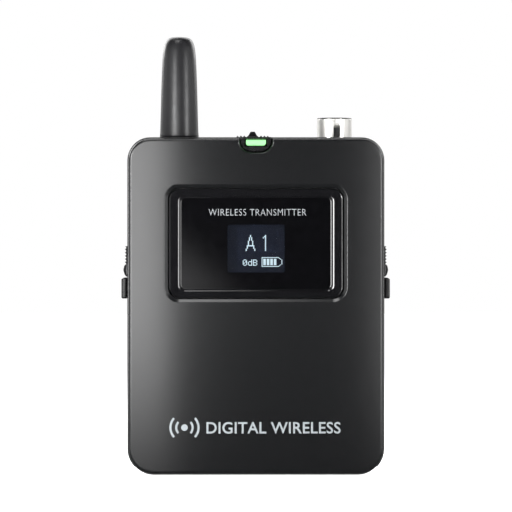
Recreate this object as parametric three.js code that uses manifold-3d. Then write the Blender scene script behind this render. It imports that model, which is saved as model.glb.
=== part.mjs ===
// Wireless bodypack transmitter: a pocket-size radio transmitter worn on a belt.
//
// Millimetres. +Z up, +X to the wearer's right seen from the front, front face towards -Y.
// The origin is the middle of the flat base of the rear case.
//
// Layout, front to back: a hinged front cover with a display window, an inner chassis that
// holds the battery bay, the display and the keys, a circuit board behind the chassis, and the
// rear case with its belt clip. The aerial, the mute slider and the microphone socket stand on
// top. The cover is hinged along its bottom edge and held by a latch plate on each side.

import * as THREE from 'three';
import { mergeVertices } from 'three/addons/utils/BufferGeometryUtils.js';
import Module from 'manifold-3d';

const wasm = await Module();
wasm.setup();

// ---------------------------------------------------------------- driving dimensions

const GAP = 0.3; // running gap between neighbouring pieces
const BODY = { width: 66, height: 86.7, front: -11.5, back: 11.5, topRadius: 5.9, lowRadius: 6.7 };
const CASE = { wall: 1.9, backWall: 2, front: -8.6, backRound: 2.6 };
const COVER = { inset: 0.45, plate: 1.7, wall: 1.3, rim: -8.9, edge: 0.7 };
const HINGE = { y: -9.2, z: 2.8, bead: 2.35, sweep: 3.3, lug: 1.3, pin: 0.6, lugX: 21, lugWidth: 4 };
const WINDOW = { z: 59.45, width: 44.4, height: 27.8, radius: 2.7, lip: 1.25, lipDepth: 0.6 };
const PANE = { width: 39.2, height: 24.2, radius: 1.3, front: -10.4 };
const NOTCH = { halfWidth: 4.25, depth: 3.6, radius: 3.1 }; // bay in the cover round the status lamp
const CHASSIS = { front: -8.2, back: -7, inset: 2.2 };
const BAY = { halfX: 29.3, z0: 7.6, z1: 38.6, floor: 6.8, wall: 1.2 };
const CELL = { radius: 7.15, length: 50.5, y: -0.75, lowZ: 15.4, highZ: 30.8, nub: 2.7, nubLength: 1 };
const BOARD = { front: -4, back: -2.8, halfX: 25.2, z0: 41, z1: 82.3 };
const TOP_PORTS_Y = 1.5; // the aerial and the socket stand in one line
const AERIAL = { x: -19.8, tip: 113, foot: 84, neck: 3.7, base: 5.05 };
const SOCKET = { x: 20.45, radius: 4.5, bore: 3.65, rim: 91.95, foot: 77.5, face: 87 };
const LOCK_SLOT = { left: -0.3, right: 1.4, top: 90.3 }; // x is counted from the socket's axis
const SLIDER = { x: -0.8, y0: -4.5, y1: 0.5, halfWidth: 4.2, travel: 1.6 };
const LATCH = { z0: 50.9, z1: 58.7, y0: -6.8, y1: -0.6, face: 33.35, flangeIn: 29.7, flange: 1.1 };
const CATCH = { y: -6.6, thick: 0.9, inner: 24.2, z0: 51.2, z1: 58.4 }; // the latch's plate
const HOOK = { inner: 26.6, outer: 27.6, barb: 0.6, tip: -4.9, z0: 52.8, z1: 56.8 };
const CLIP = { y: 1.5, z: 47.9, half: 2.7, arm: 1.4, front: -2.6, back: 17.8, bar: 1.3, tongue: 12, peg: 1.5 };
const LABEL = { halfX: 19, z0: 57.5, z1: 78.5, radius: 1.5, depth: 0.4 }; // seat of the rating plate
const LAMP = { halfX: 2.65, z0: 84.5, z1: 86.05, front: -10, back: -5.7, corner: 0.45 };
const SCREW_PLACES = [[-28, 76], [28, 76], [-28, 44.6], [28, 44.6]];
const BOARD_SCREW_PLACES = [[-22.6, 44.5], [22.6, 44.5], [0, 72]];
const KEY = { x: 18.2, places: [66.4, 59.4, 52.4], width: 6.4, height: 4.2, front: -8.9 };
const DISPLAY = { x: -0.2, z: 58.15, width: 15.4, height: 12.9 };
const IR = { x: -18.2, z: 64, width: 6, height: 4 };

const BODY_TOP = BODY.height;
const CASE_INNER_X = BODY.width / 2 - CASE.wall;
const CASE_INNER_TOP = BODY_TOP - CASE.wall;
const CASE_INNER_BACK = BODY.back - CASE.backWall;
const COVER_INNER = BODY.front + COVER.plate;

// ---------------------------------------------------------------- materials

function material(color, roughness, metalness = 0) {
  return new THREE.MeshStandardMaterial({ color, roughness, metalness });
}

const MATERIALS = {
  caseBlack: material(0x1b1c1e, 0.55),
  coverPaint: material(0x26272a, 0.38),
  gloss: material(0x08090a, 0.08),
  pane: material(0x0b0c0e, 0.04),
  rubber: material(0x2a2b2d, 0.42),
  chrome: material(0xd8d8d4, 0.12, 1),
  steel: material(0xa8a9ab, 0.35, 1),
  blackSteel: material(0x17181a, 0.4),
  gold: material(0xc9a24b, 0.3, 1),
  insulator: material(0x101112, 0.45),
  board: material(0x1f5a3c, 0.5),
  chip: material(0x141516, 0.5),
  lamp: material(0x8cf59a, 0.3),
  display: material(0x1c2028, 0.1),
  infrared: material(0x3a0a10, 0.1),
  key: material(0x505357, 0.6),
  cell: material(0x3b4149, 0.3, 0.6),
  foam: material(0x202122, 0.95),
  label: material(0x8f9295, 0.5),
};

// ---------------------------------------------------------------- solids from three.js geometry

function toSolid(geometry) {
  const bare = geometry.index ? geometry.toNonIndexed() : geometry.clone();
  for (const name of Object.keys(bare.attributes)) {
    if (name !== 'position') bare.deleteAttribute(name);
  }
  const merged = mergeVertices(bare, 1e-4);
  return new wasm.Manifold(new wasm.Mesh({
    numProp: 3,
    vertProperties: merged.attributes.position.array,
    triVerts: new Uint32Array(merged.index.array),
  }));
}

function toGeometry(solid) {
  const mesh = solid.getMesh();
  const points = new Float32Array(mesh.numVert * 3);
  for (let i = 0; i < mesh.numVert; i++) {
    points.set(mesh.vertProperties.subarray(i * mesh.numProp, i * mesh.numProp + 3), i * 3);
  }
  const geometry = new THREE.BufferGeometry();
  geometry.setAttribute('position', new THREE.BufferAttribute(points, 3));
  geometry.setIndex(new THREE.BufferAttribute(mesh.triVerts, 1));
  const flat = geometry.toNonIndexed();
  flat.computeVertexNormals();
  return flat;
}

function piece(name, solid, finish, place = [0, 0, 0]) {
  const mesh = new THREE.Mesh(toGeometry(solid), finish);
  mesh.name = name;
  mesh.position.set(...place);
  return mesh;
}

const join = (first, ...rest) => rest.reduce((whole, next) => whole.add(next), first);
const cut = (first, ...rest) => rest.reduce((whole, next) => whole.subtract(next), first);

function box(x0, x1, y0, y1, z0, z1) {
  const shape = new THREE.BoxGeometry(x1 - x0, y1 - y0, z1 - z0);
  shape.translate((x0 + x1) / 2, (y0 + y1) / 2, (z0 + z1) / 2);
  return toSolid(shape);
}

// A rod along an axis, from one place on that axis to another, at (a, b) on the other two.
function rod(axis, radius, from, to, a, b, sides = 20) {
  const shape = new THREE.CylinderGeometry(radius, radius, to - from, sides);
  const middle = (from + to) / 2;
  if (axis === 'x') {
    shape.rotateZ(-Math.PI / 2);
    shape.translate(middle, a, b);
  } else if (axis === 'y') {
    shape.translate(a, middle, b);
  } else {
    shape.rotateX(Math.PI / 2);
    shape.translate(a, b, middle);
  }
  return toSolid(shape);
}

// A turned solid about the line through (x, y) along Z. The profile is [radius, z] pairs.
function turned(profile, x, y, sides = 32) {
  const points = profile.map(([r, z]) => new THREE.Vector2(r, z));
  const shape = new THREE.LatheGeometry(points, sides);
  shape.rotateX(Math.PI / 2);
  shape.translate(x, y, 0);
  const solid = toSolid(shape);
  return solid.volume() < 0 ? toSolid(flipped(shape)) : solid;
}

function flipped(geometry) {
  const turnedRound = geometry.clone();
  turnedRound.setIndex([...geometry.index.array].reverse());
  return turnedRound;
}

// Shapes drawn in X and Z, made into a plate from y0 to y1.
function plateY(shape, y0, y1, options = {}) {
  const made = new THREE.ExtrudeGeometry(shape, {
    depth: y1 - y0, bevelEnabled: false, curveSegments: 3, ...options,
  });
  made.rotateX(Math.PI / 2);
  made.translate(0, y1, 0);
  return toSolid(made);
}

// Shapes drawn in Y and Z, made into a bar from x0 to x1.
function barX(shape, x0, x1) {
  const made = new THREE.ExtrudeGeometry(shape, {
    depth: x1 - x0, bevelEnabled: false, curveSegments: 6,
  });
  const turn = new THREE.Matrix4().makeBasis(
    new THREE.Vector3(0, 1, 0), new THREE.Vector3(0, 0, 1), new THREE.Vector3(1, 0, 0));
  made.applyMatrix4(turn);
  made.translate(x0, 0, 0);
  return toSolid(made);
}

function roundedShape(x0, x1, z0, z1, lowRadius, highRadius = lowRadius) {
  const shape = new THREE.Shape();
  const quarter = Math.PI / 2;
  shape.absarc(x1 - lowRadius, z0 + lowRadius, lowRadius, -quarter, 0);
  shape.absarc(x1 - highRadius, z1 - highRadius, highRadius, 0, quarter);
  shape.absarc(x0 + highRadius, z1 - highRadius, highRadius, quarter, 2 * quarter);
  shape.absarc(x0 + lowRadius, z0 + lowRadius, lowRadius, 2 * quarter, 3 * quarter);
  shape.closePath();
  return shape;
}

// The front outline of the body, shrunk all round by an inset.
function bodyOutline(inset) {
  const half = BODY.width / 2 - inset;
  return roundedShape(-half, half, inset, BODY.height - inset,
    BODY.lowRadius - inset, BODY.topRadius - inset);
}

function windowShape(grow) {
  const halfX = WINDOW.width / 2 + grow;
  const halfZ = WINDOW.height / 2 + grow;
  return roundedShape(-halfX, halfX, WINDOW.z - halfZ, WINDOW.z + halfZ, WINDOW.radius + grow);
}

// The tab round the status lamp: open at the top, round at the bottom corners.
function notchShape(shrink, top) {
  const half = NOTCH.halfWidth - shrink;
  const foot = BODY.height - COVER.inset - NOTCH.depth + shrink;
  const radius = NOTCH.radius - shrink;
  const shape = new THREE.Shape();
  shape.moveTo(half, top);
  shape.lineTo(-half, top);
  shape.absarc(radius - half, foot + radius, radius, Math.PI, 1.5 * Math.PI);
  shape.absarc(half - radius, foot + radius, radius, 1.5 * Math.PI, 2 * Math.PI);
  shape.closePath();
  return shape;
}

// A coil of wire about the X axis, from x0 to x1, with a radius that may change along it.
class Coil extends THREE.Curve {
  constructor(x0, x1, startRadius, endRadius, turns) {
    super();
    Object.assign(this, { x0, x1, startRadius, endRadius, turns });
  }

  getPoint(t) {
    const angle = 2 * Math.PI * this.turns * t;
    const radius = this.startRadius + (this.endRadius - this.startRadius) * t;
    return new THREE.Vector3(
      this.x0 + (this.x1 - this.x0) * t, radius * Math.cos(angle), radius * Math.sin(angle));
  }
}

function wire(curve, radius, steps, sides = 5) {
  const section = new THREE.Shape();
  for (let i = 0; i < sides; i++) {
    const angle = (2 * Math.PI * i) / sides;
    section[i ? 'lineTo' : 'moveTo'](radius * Math.cos(angle), radius * Math.sin(angle));
  }
  return new THREE.ExtrudeGeometry(section, { steps, extrudePath: curve, bevelEnabled: false });
}

const mirrorX = (solid) => solid.mirror([1, 0, 0]);

// ---------------------------------------------------------------- rear case

function rearCase() {
  const tail = 6; // the extrusion is rounded at both ends, and this end is cut off
  const shell = plateY(bodyOutline(0), CASE.front - tail + CASE.backRound,
    BODY.back - CASE.backRound, {
      bevelEnabled: true, bevelSize: CASE.backRound, bevelThickness: CASE.backRound,
      bevelOffset: -CASE.backRound, bevelSegments: 4,
    });
  const tab = notchShape(GAP, BODY_TOP);
  const body = join(
    cut(shell,
      box(-40, 40, CASE.front - 2 * tail, CASE.front, -10, 100),
      plateY(bodyOutline(CASE.wall), CASE.front - 1, CASE_INNER_BACK)),
    plateY(tab, -10.2, CASE.front + 0.1),
    box(-3.5, 3.5, CASE.front - 0.2, -6.5, CASE_INNER_TOP, BODY_TOP - 0.3),
    springSeat(1),
    springSeat(-1),
  );
  return cut(body,
    hingeTrough(),
    rod('z', AERIAL.neck + GAP, CASE_INNER_TOP - 1, BODY_TOP + 1, AERIAL.x, TOP_PORTS_Y, 32),
    rod('z', SOCKET.radius + GAP, CASE_INNER_TOP - 1, BODY_TOP + 1, SOCKET.x, TOP_PORTS_Y, 32),
    sliderSlot(),
    lampPocket(),
    latchWindow(1),
    latchWindow(-1),
    pegHole(1),
    pegHole(-1),
    plateY(labelShape(0), BODY.back - LABEL.depth, BODY.back + 1),
    ...SCREW_PLACES.flatMap(([x, z]) => [
      rod('y', 1.3, CASE_INNER_BACK - 1, BODY.back + 1, x, z, 16),
      rod('y', 2.6, BODY.back - 1.1, BODY.back + 1, x, z, 24),
    ]));
}

// The space that the cover's bottom edge sweeps through as it turns about its hinge.
function hingeTrough() {
  return rod('x', HINGE.sweep, -CASE_INNER_X, CASE_INNER_X, HINGE.y, HINGE.z, 40);
}

// The light pipe stands in this pocket with a running gap all round.
function lampPocket() {
  return box(-LAMP.halfX - GAP, LAMP.halfX + GAP, LAMP.front - 0.4, LAMP.back + GAP,
    LAMP.z0 - GAP, LAMP.z1 + GAP);
}

function labelShape(inset) {
  return roundedShape(-LABEL.halfX + inset, LABEL.halfX - inset, LABEL.z0 + inset,
    LABEL.z1 - inset, LABEL.radius - inset);
}

function springSeat(side) {
  const seat = box(24.2, 25.4, -1, CASE_INNER_BACK + 0.5, 51.5, 58.1);
  return side > 0 ? seat : mirrorX(seat);
}

function sliderSlot() {
  const half = SLIDER.halfWidth + SLIDER.travel / 2 + GAP;
  return box(-half, half, SLIDER.y0 - GAP, SLIDER.y1 + GAP, CASE_INNER_TOP - 1, BODY_TOP + 1);
}

function latchWindow(side) {
  const hole = box(CASE_INNER_X - 1, 34, LATCH.y0 - GAP, LATCH.y1 + GAP,
    LATCH.z0 - GAP, LATCH.z1 + GAP);
  return side > 0 ? hole : mirrorX(hole);
}

function pegHole(side) {
  const hole = rod('x', CLIP.peg + GAP, BODY.width / 2 - 1.3, 34, CLIP.y, CLIP.z, 20);
  return side > 0 ? hole : mirrorX(hole);
}

function caseScrew() {
  const head = rod('y', 2.25, BODY.back - 0.8, BODY.back - 0.1, 0, 0, 20);
  const shank = rod('y', 1, 3.5, BODY.back - 0.7, 0, 0, 10);
  const slot = join(
    box(-1.3, 1.3, BODY.back - 0.5, BODY.back, -0.25, 0.25),
    box(-0.25, 0.25, BODY.back - 0.5, BODY.back, -1.3, 1.3));
  return cut(join(head, shank), slot);
}

function ratingLabel() {
  const sheet = 0.2;
  return plateY(labelShape(GAP), BODY.back - GAP, BODY.back - GAP + sheet);
}

// ---------------------------------------------------------------- inner chassis

function chassis() {
  const { halfX, z0, z1, floor, wall } = BAY;
  const inner = bodyOutline(CHASSIS.inset);
  const bar = box(-33, 33, CHASSIS.front, -3.8, 2, z0);
  const bayWalls = box(-halfX - wall, halfX + wall, CHASSIS.front, floor + wall, z0 - wall, z1 + wall);
  const cradles = [-14, 14].map((x) => cut(
    box(x - 0.6, x + 0.6, 2, floor + 0.5, z0 - 0.5, z1 + 0.5),
    rod('x', CELL.radius + GAP, -40, 40, CELL.y, CELL.lowZ, 32),
    rod('x', CELL.radius + GAP, -40, 40, CELL.y, CELL.highZ, 32)));
  const bosses = SCREW_PLACES.map(([x, z]) => rod('y', 2.3, -7.5, CASE_INNER_BACK - GAP, x, z, 20));
  const posts = BOARD_SCREW_PLACES.map(([x, z]) => rod('y', 1.7, -7.5, BOARD.front - GAP, x, z, 16));
  const solid = join(
    plateY(bodyOutline(CHASSIS.inset), CHASSIS.front, CHASSIS.back), bar, bayWalls, ...bosses, ...posts);
  const hollow = cut(solid,
    box(-halfX, halfX, CHASSIS.front - 1, floor, z0, z1),
    hingeTrough(),
    keyHoles(),
    displayHole(),
    box(IR.x - IR.width / 2 - GAP, IR.x + IR.width / 2 + GAP, -9, -6, IR.z - 2.3, IR.z + 2.3),
    box(-3.3, 3.3, -9, -6, 83.8, 90), // room for the light pipe's pocket
    hookHole(1),
    hookHole(-1),
    ...SCREW_PLACES.map(([x, z]) => rod('y', 1.3, 3, 12, x, z, 12)),
    ...BOARD_SCREW_PLACES.map(([x, z]) => rod('y', 1.25, -6.5, 0, x, z, 12)));
  const trimmed = join(hollow, ...cradles).intersect(plateY(inner, -20, 20));
  return join(trimmed, hingeLug(1), hingeLug(-1));
}

function keyHoles() {
  const half = KEY.width / 2 + GAP;
  const halfZ = KEY.height / 2 + GAP;
  const holes = KEY.places.map((z) => plateY(
    roundedShape(KEY.x - half, KEY.x + half, z - halfZ, z + halfZ, 1.5), -9, -6));
  return join(...holes);
}

// The cover's hook passes through the chassis here.
function hookHole(side) {
  const hole = box(HOOK.inner - HOOK.barb - GAP, HOOK.outer + GAP, -9, -6,
    HOOK.z0 - GAP, HOOK.z1 + GAP);
  return side > 0 ? hole : mirrorX(hole);
}

function displayHole() {
  const { x, z, width, height } = DISPLAY;
  return plateY(roundedShape(
    x - width / 2, x + width / 2, z - height / 2, z + height / 2, 0.8), -9, -6);
}

function hingeLug(side) {
  const x0 = HINGE.lugX - HINGE.lugWidth / 2;
  const x1 = HINGE.lugX + HINGE.lugWidth / 2;
  const lug = cut(
    join(
      rod('x', HINGE.lug, x0, x1, HINGE.y, HINGE.z, 24),
      box(x0, x1, HINGE.y, -5, CASE.wall + GAP, HINGE.z + HINGE.lug)),
    rod('x', HINGE.pin + 0.15, x0 - 1, x1 + 1, HINGE.y, HINGE.z, 16));
  return side > 0 ? lug : mirrorX(lug);
}

// ---------------------------------------------------------------- front cover

function frontCover() {
  const rimTail = 4;
  const slab = plateY(bodyOutline(COVER.inset), BODY.front + COVER.edge, COVER.rim + rimTail, {
    bevelEnabled: true, bevelSize: COVER.edge, bevelThickness: COVER.edge,
    bevelOffset: -COVER.edge, bevelSegments: 3,
  });
  const shell = cut(slab,
    box(-40, 40, COVER.rim, 20, -10, 100),
    plateY(bodyOutline(COVER.inset + COVER.wall), COVER_INNER, 0));
  const bead = rod('x', HINGE.bead, GAP - CASE_INNER_X, CASE_INNER_X - GAP, HINGE.y, HINGE.z, 40)
    .intersect(plateY(bodyOutline(COVER.inset), -10.4, 0));
  const seat = plateY(windowShape(2), COVER_INNER - 0.1, -9.2);
  const body = join(shell, bead, seat, coverHook(1), coverHook(-1));
  return cut(body,
    windowLip(),
    plateY(windowShape(GAP), BODY.front - 1, 0),
    plateY(notchShape(0, BODY_TOP + 2), BODY.front - 1, 0),
    lugSlot(1),
    lugSlot(-1),
    rod('x', HINGE.pin + 0.15, 16, 26, HINGE.y, HINGE.z, 16),
    rod('x', HINGE.pin + 0.15, -26, -16, HINGE.y, HINGE.z, 16));
}

// The rounded lip round the window, as a stack of steps that follow a quarter round.
function windowLip() {
  const steps = 4;
  const layers = [];
  for (let i = 0; i < steps; i++) {
    const share = (i + 0.5) / steps;
    const grow = GAP + WINDOW.lip * (1 - Math.sqrt(1 - (1 - share) ** 2));
    const deep = BODY.front + (WINDOW.lipDepth * (i + 1)) / steps;
    layers.push(plateY(windowShape(grow), BODY.front - 1, deep));
  }
  return join(...layers);
}

// Clearance in the bead for a hinge lug, from the closed cover to the open one.
function lugSlot(side) {
  const x0 = HINGE.lugX - HINGE.lugWidth / 2 - GAP;
  const x1 = HINGE.lugX + HINGE.lugWidth / 2 + GAP;
  const reach = HINGE.lug + GAP;
  const slot = join(
    rod('x', reach, x0, x1, HINGE.y, HINGE.z, 24),
    box(x0, x1, HINGE.y - reach, -5, -1, HINGE.z),
    box(x0, x1, HINGE.y, -5, -1, HINGE.z + reach));
  return side > 0 ? slot : mirrorX(slot);
}

function coverHook(side) {
  const { inner, outer, barb, tip, z0, z1 } = HOOK;
  const hook = join(
    box(inner, outer, COVER_INNER - 0.2, tip, z0, z1),
    box(inner - barb, outer, tip - 0.5, tip, z0, z1));
  return side > 0 ? hook : mirrorX(hook);
}

function hingePin() {
  return rod('x', HINGE.pin, -4.5, 4.5, 0, 0, 16);
}

function windowBezel() {
  const ring = cut(
    plateY(windowShape(0), -11.1, -9.2),
    paneShape(0, -12, -9.6, PANE),
    paneShape(-0.9, -10, 0, PANE));
  const { width, height, radius } = PANE;
  return cut(ring, ...[0.2, 0.5].map((depth, i) => plateY(roundedShape(
    -width / 2 - 0.5 + i * 0.25, width / 2 + 0.5 - i * 0.25,
    WINDOW.z - height / 2 - 0.5 + i * 0.25, WINDOW.z + height / 2 + 0.5 - i * 0.25,
    radius + 0.5 - i * 0.25), -12, -11.1 + depth)));
}

function paneShape(grow, y0, y1, { width, height, radius }) {
  return plateY(roundedShape(
    -width / 2 - grow, width / 2 + grow, WINDOW.z - height / 2 - grow,
    WINDOW.z + height / 2 + grow, Math.max(0.4, radius + grow)), y0, y1);
}

function windowPane() {
  return paneShape(-0.2, PANE.front, -9.7, PANE);
}

function batteryPad() {
  return plateY(roundedShape(-17, 17, 14, 32, 2), COVER_INNER + 0.1, -8.4);
}

// ---------------------------------------------------------------- side latches

// A latch on the +X side: a ribbed pad outside, a flange behind the wall, and a plate with a
// window that the cover's hook passes through.
function latch() {
  const shape = new THREE.Shape();
  const { face, z0, z1 } = LATCH;
  const toothPitch = 0.83;
  const teeth = 6;
  shape.moveTo(30, z0);
  shape.lineTo(face, z0);
  shape.quadraticCurveTo(face + 1.2, z0 + 1.2, face + 0.45, z0 + 3);
  for (let i = 0; i < teeth; i++) {
    const z = z1 - (teeth - i) * toothPitch + 0.15;
    shape.lineTo(face, z + 0.1);
    shape.lineTo(face + 0.35, z + 0.6);
  }
  shape.lineTo(face - 0.1, z1);
  shape.lineTo(30, z1);
  shape.closePath();
  const pad = plateY(shape, LATCH.y0, LATCH.y1);
  const flange = box(LATCH.flangeIn, LATCH.flangeIn + LATCH.flange, CATCH.y, 2.6,
    z0 - 1.1, z1 + 1.1);
  const catchPlate = cut(
    box(CATCH.inner, LATCH.flangeIn + 0.2, CATCH.y, CATCH.y + CATCH.thick, CATCH.z0, CATCH.z1),
    box(CATCH.inner + 1.5, LATCH.flangeIn - 0.5, -7, -5, HOOK.z0 - 0.5, HOOK.z1 + 0.5));
  return join(pad, flange, catchPlate);
}

function latchSpring() {
  return toSolid(wire(new Coil(25.8, 29.3, 1.4, 1.4, 4), 0.25, 32));
}

// ---------------------------------------------------------------- belt clip

function beltClip() {
  const outer = BODY.width / 2 + GAP + CLIP.arm;
  const inner = BODY.width / 2 + GAP;
  const backIn = CLIP.back - CLIP.bar;
  const bend = 5;
  const band = new THREE.Shape();
  band.moveTo(outer, CLIP.front + 0.5);
  band.lineTo(outer, CLIP.back - bend);
  band.absarc(outer - bend, CLIP.back - bend, bend, 0, Math.PI / 2);
  band.absarc(bend - outer, CLIP.back - bend, bend, Math.PI / 2, Math.PI);
  band.lineTo(-outer, CLIP.front + 0.5);
  band.lineTo(-outer + 0.4, CLIP.front);
  band.lineTo(-inner, CLIP.front);
  const bendIn = bend - CLIP.arm;
  band.lineTo(-inner, backIn - bendIn);
  band.absarc(bendIn - inner, backIn - bendIn, bendIn, Math.PI, Math.PI / 2, true);
  band.absarc(inner - bendIn, backIn - bendIn, bendIn, Math.PI / 2, 0, true);
  band.lineTo(inner, CLIP.front);
  band.lineTo(outer - 0.4, CLIP.front);
  band.closePath();
  const yoke = new THREE.ExtrudeGeometry(band, {
    depth: 2 * CLIP.half, bevelEnabled: false, curveSegments: 6,
  });
  yoke.translate(0, 0, CLIP.z - CLIP.half);
  const pegs = [1, -1].map((side) => {
    const peg = rod('x', CLIP.peg, BODY.width / 2 - 1, inner + 0.2, CLIP.y, CLIP.z, 20);
    return side > 0 ? peg : mirrorX(peg);
  });
  return join(toSolid(yoke), ...pegs, clipTongue(backIn));
}

function clipTongue(backIn) {
  const thick = CLIP.bar;
  const side = new THREE.Shape();
  side.moveTo(backIn, CLIP.z + CLIP.half);
  side.lineTo(backIn, 27);
  side.bezierCurveTo(backIn, 20, 12.1, 16, 12.1, 10.5);
  side.quadraticCurveTo(12.1, 7.5, 14.2, 5.2);
  side.lineTo(14.2 + thick, 5.9);
  side.quadraticCurveTo(12.1 + thick, 8, 12.1 + thick, 10.5);
  side.bezierCurveTo(12.1 + thick, 16, backIn + thick, 20, backIn + thick, 27);
  side.lineTo(backIn + thick, CLIP.z + CLIP.half);
  side.closePath();
  return barX(side, -CLIP.tongue, CLIP.tongue)
    .intersect(plateY(roundedShape(-CLIP.tongue, CLIP.tongue, 5, 60, 6), 0, 30));
}

// ---------------------------------------------------------------- aerial

// The rubber sleeve, from its neck in the case to the rounded tip. It tapers a little.
function aerialSleeve() {
  const { neck, foot, base, tip } = AERIAL;
  const outside = [
    [neck, foot], [neck, BODY_TOP + GAP], [base, BODY_TOP + GAP], [base - 0.08, BODY_TOP + 1.7],
    [base - 0.3, tip - 16.4], [base - 0.5, tip - 10.1], [base - 0.69, tip - 6], [base - 0.88, tip - 3.5],
    [base - 1.18, tip - 1.9], [base - 1.68, tip - 0.85], [base - 2.55, tip - 0.2], [0, tip],
  ];
  const inside = [[0, 109], [2.2, 108.4], [3, 107], [3, foot]];
  return turned([...inside, ...outside], AERIAL.x, TOP_PORTS_Y, 28);
}

function aerialStud() {
  return turned([
    [0, 76.5], [1.2, 76.5], [1.2, 80], [3.2, 80], [3.2, 83.6], [2.6, 83.6], [2.6, 89],
    [1.4, 89.6], [0, 89.6],
  ], AERIAL.x, TOP_PORTS_Y, 20);
}

function aerialCoil() {
  const coil = toSolid(wire(new Coil(90, 106, 2.2, 2.2, 6), 0.3, 48));
  return coil.rotate([0, -90, 0]).translate([AERIAL.x, TOP_PORTS_Y, 0]);
}

// ---------------------------------------------------------------- microphone socket

function socketShell() {
  const shell = turned([
    [SOCKET.bore, SOCKET.foot], [SOCKET.radius, SOCKET.foot], [SOCKET.radius, SOCKET.rim - 0.3],
    [SOCKET.radius - 0.25, SOCKET.rim], [SOCKET.bore, SOCKET.rim], [SOCKET.bore, SOCKET.foot],
  ], SOCKET.x, TOP_PORTS_Y, 36);
  const lockWindow = box(SOCKET.x + LOCK_SLOT.left, SOCKET.x + LOCK_SLOT.right, -6, TOP_PORTS_Y,
    SOCKET.face - 0.1, LOCK_SLOT.top);
  return cut(shell, lockWindow);
}

function socketNut() {
  const ring = new THREE.CylinderGeometry(5.6, 5.6, 2, 6);
  ring.rotateX(Math.PI / 2);
  ring.translate(SOCKET.x, TOP_PORTS_Y, 83.2);
  return cut(toSolid(ring), rod('z', SOCKET.radius + 0.15, 80, 86, SOCKET.x, TOP_PORTS_Y, 36));
}

const CONTACT_PLACES = [[-1.1, -1.1], [1.1, -1.1], [1.1, 1.1], [-1.1, 1.1]];

function socketInsert() {
  return cut(
    rod('z', SOCKET.bore - 0.2, 76.6, SOCKET.face, SOCKET.x, TOP_PORTS_Y, 32),
    ...CONTACT_PLACES.map(([x, y]) => rod(
      'z', 0.6, 70, 95, SOCKET.x + x, TOP_PORTS_Y + y, 12)));
}

function socketContact() {
  return rod('z', 0.42, 74.8, SOCKET.face - 0.3, 0, 0, 10);
}

function socketBoard() {
  return box(SOCKET.x - 4.6, SOCKET.x + 4.6, -2.2, 6, 73.4, 74.4);
}

// ---------------------------------------------------------------- mute slider and status lamp

// Moves along X. Its middle is at x = 0 here, and the mesh's position puts it at the left stop.
function muteSlider() {
  const { halfWidth, y0, y1 } = SLIDER;
  const crown = new THREE.Shape();
  const toothPitch = 0.89;
  crown.moveTo(-halfWidth, 84);
  crown.lineTo(halfWidth, 84);
  crown.lineTo(halfWidth, 86.7);
  for (let i = 0; i < 3; i++) {
    crown.lineTo(3.93 - i * toothPitch, 86.98);
    crown.lineTo(3.48 - i * toothPitch, 86.72);
  }
  crown.quadraticCurveTo(1, 87.1, 0.6, 88.25);
  crown.lineTo(-0.6, 88.25);
  crown.quadraticCurveTo(-1, 87.1, -1.7, 86.72);
  for (let i = 2; i >= 0; i--) {
    crown.lineTo(-3.93 + i * toothPitch, 86.98);
    crown.lineTo(i ? -4.37 + i * toothPitch : -halfWidth, 86.72);
  }
  crown.closePath();
  const flangeHalf = halfWidth + SLIDER.travel + 2 * GAP;
  return join(
    plateY(crown, y0, y1),
    box(-flangeHalf, flangeHalf, -5.1, 1.1, 83.7, CASE_INNER_TOP - GAP),
    box(-0.8, 0.8, -1, 0.4, 81.6, 83.8));
}

function switchBody() {
  return cut(box(-4.6, 4.6, -2.3, 2.4, 78.4, 83.2), box(-2, 2, -1.4, 0.8, 81.2, 84));
}

function lightPipe() {
  const { halfX, z0, z1, corner } = LAMP;
  const shape = new THREE.Shape();
  shape.moveTo(-halfX, z1);
  shape.lineTo(-halfX, z0 + corner);
  shape.lineTo(corner - halfX, z0);
  shape.lineTo(halfX - corner, z0);
  shape.lineTo(halfX, z0 + corner);
  shape.lineTo(halfX, z1);
  shape.closePath();
  return plateY(shape, LAMP.front, LAMP.back);
}

function statusLamp() {
  return box(-0.9, 1.3, -6.7, BOARD.front - GAP, 80.6, 83.4);
}

// ---------------------------------------------------------------- board, display and keys

function mainBoard() {
  const { halfX, z0, z1, front, back } = BOARD;
  return cut(
    box(-halfX, halfX, front, back, z0, z1),
    box(-40, -14.2, -5, 0, 75, 90),
    box(14.2, 40, -5, 0, 72.5, 90),
    ...BOARD_SCREW_PLACES.map(([x, z]) => rod('y', 1.3, -5, 0, x, z, 12)));
}

function boardScrew() {
  return cut(
    join(rod('y', 1.9, -2.5, -1.7, 0, 0, 16), rod('y', 0.95, -6.2, -2.4, 0, 0, 10)),
    box(-1.1, 1.1, -2, -1, -0.2, 0.2),
    box(-0.2, 0.2, -2, -1, -1.1, 1.1));
}

function shieldCan() {
  return cut(box(-20.5, -3, -2.5, 1, 49.5, 69), box(-20.1, -3.4, -3, 0.6, 49.9, 68.6));
}

function displayGlass() {
  return box(DISPLAY.x - 10.5, DISPLAY.x + 10.5, -6.7, -5.3, 48.9, 67.2);
}

function displayHolder() {
  return cut(
    box(DISPLAY.x - 11.2, DISPLAY.x + 11.2, -5, BOARD.front - GAP, 48.2, 67.9),
    box(DISPLAY.x - 8, DISPLAY.x + 8, -6, -3, 51, 65));
}

// A key cap with its own middle at x = 0, z = 0. It moves along +Y.
function keyCap() {
  const cap = plateY(
    roundedShape(-KEY.width / 2, KEY.width / 2, -KEY.height / 2, KEY.height / 2, 1.2),
    KEY.front, -6.4);
  return join(cap, box(-3.8, 3.8, -6.7, -6.1, -2.7, 2.7));
}

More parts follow.
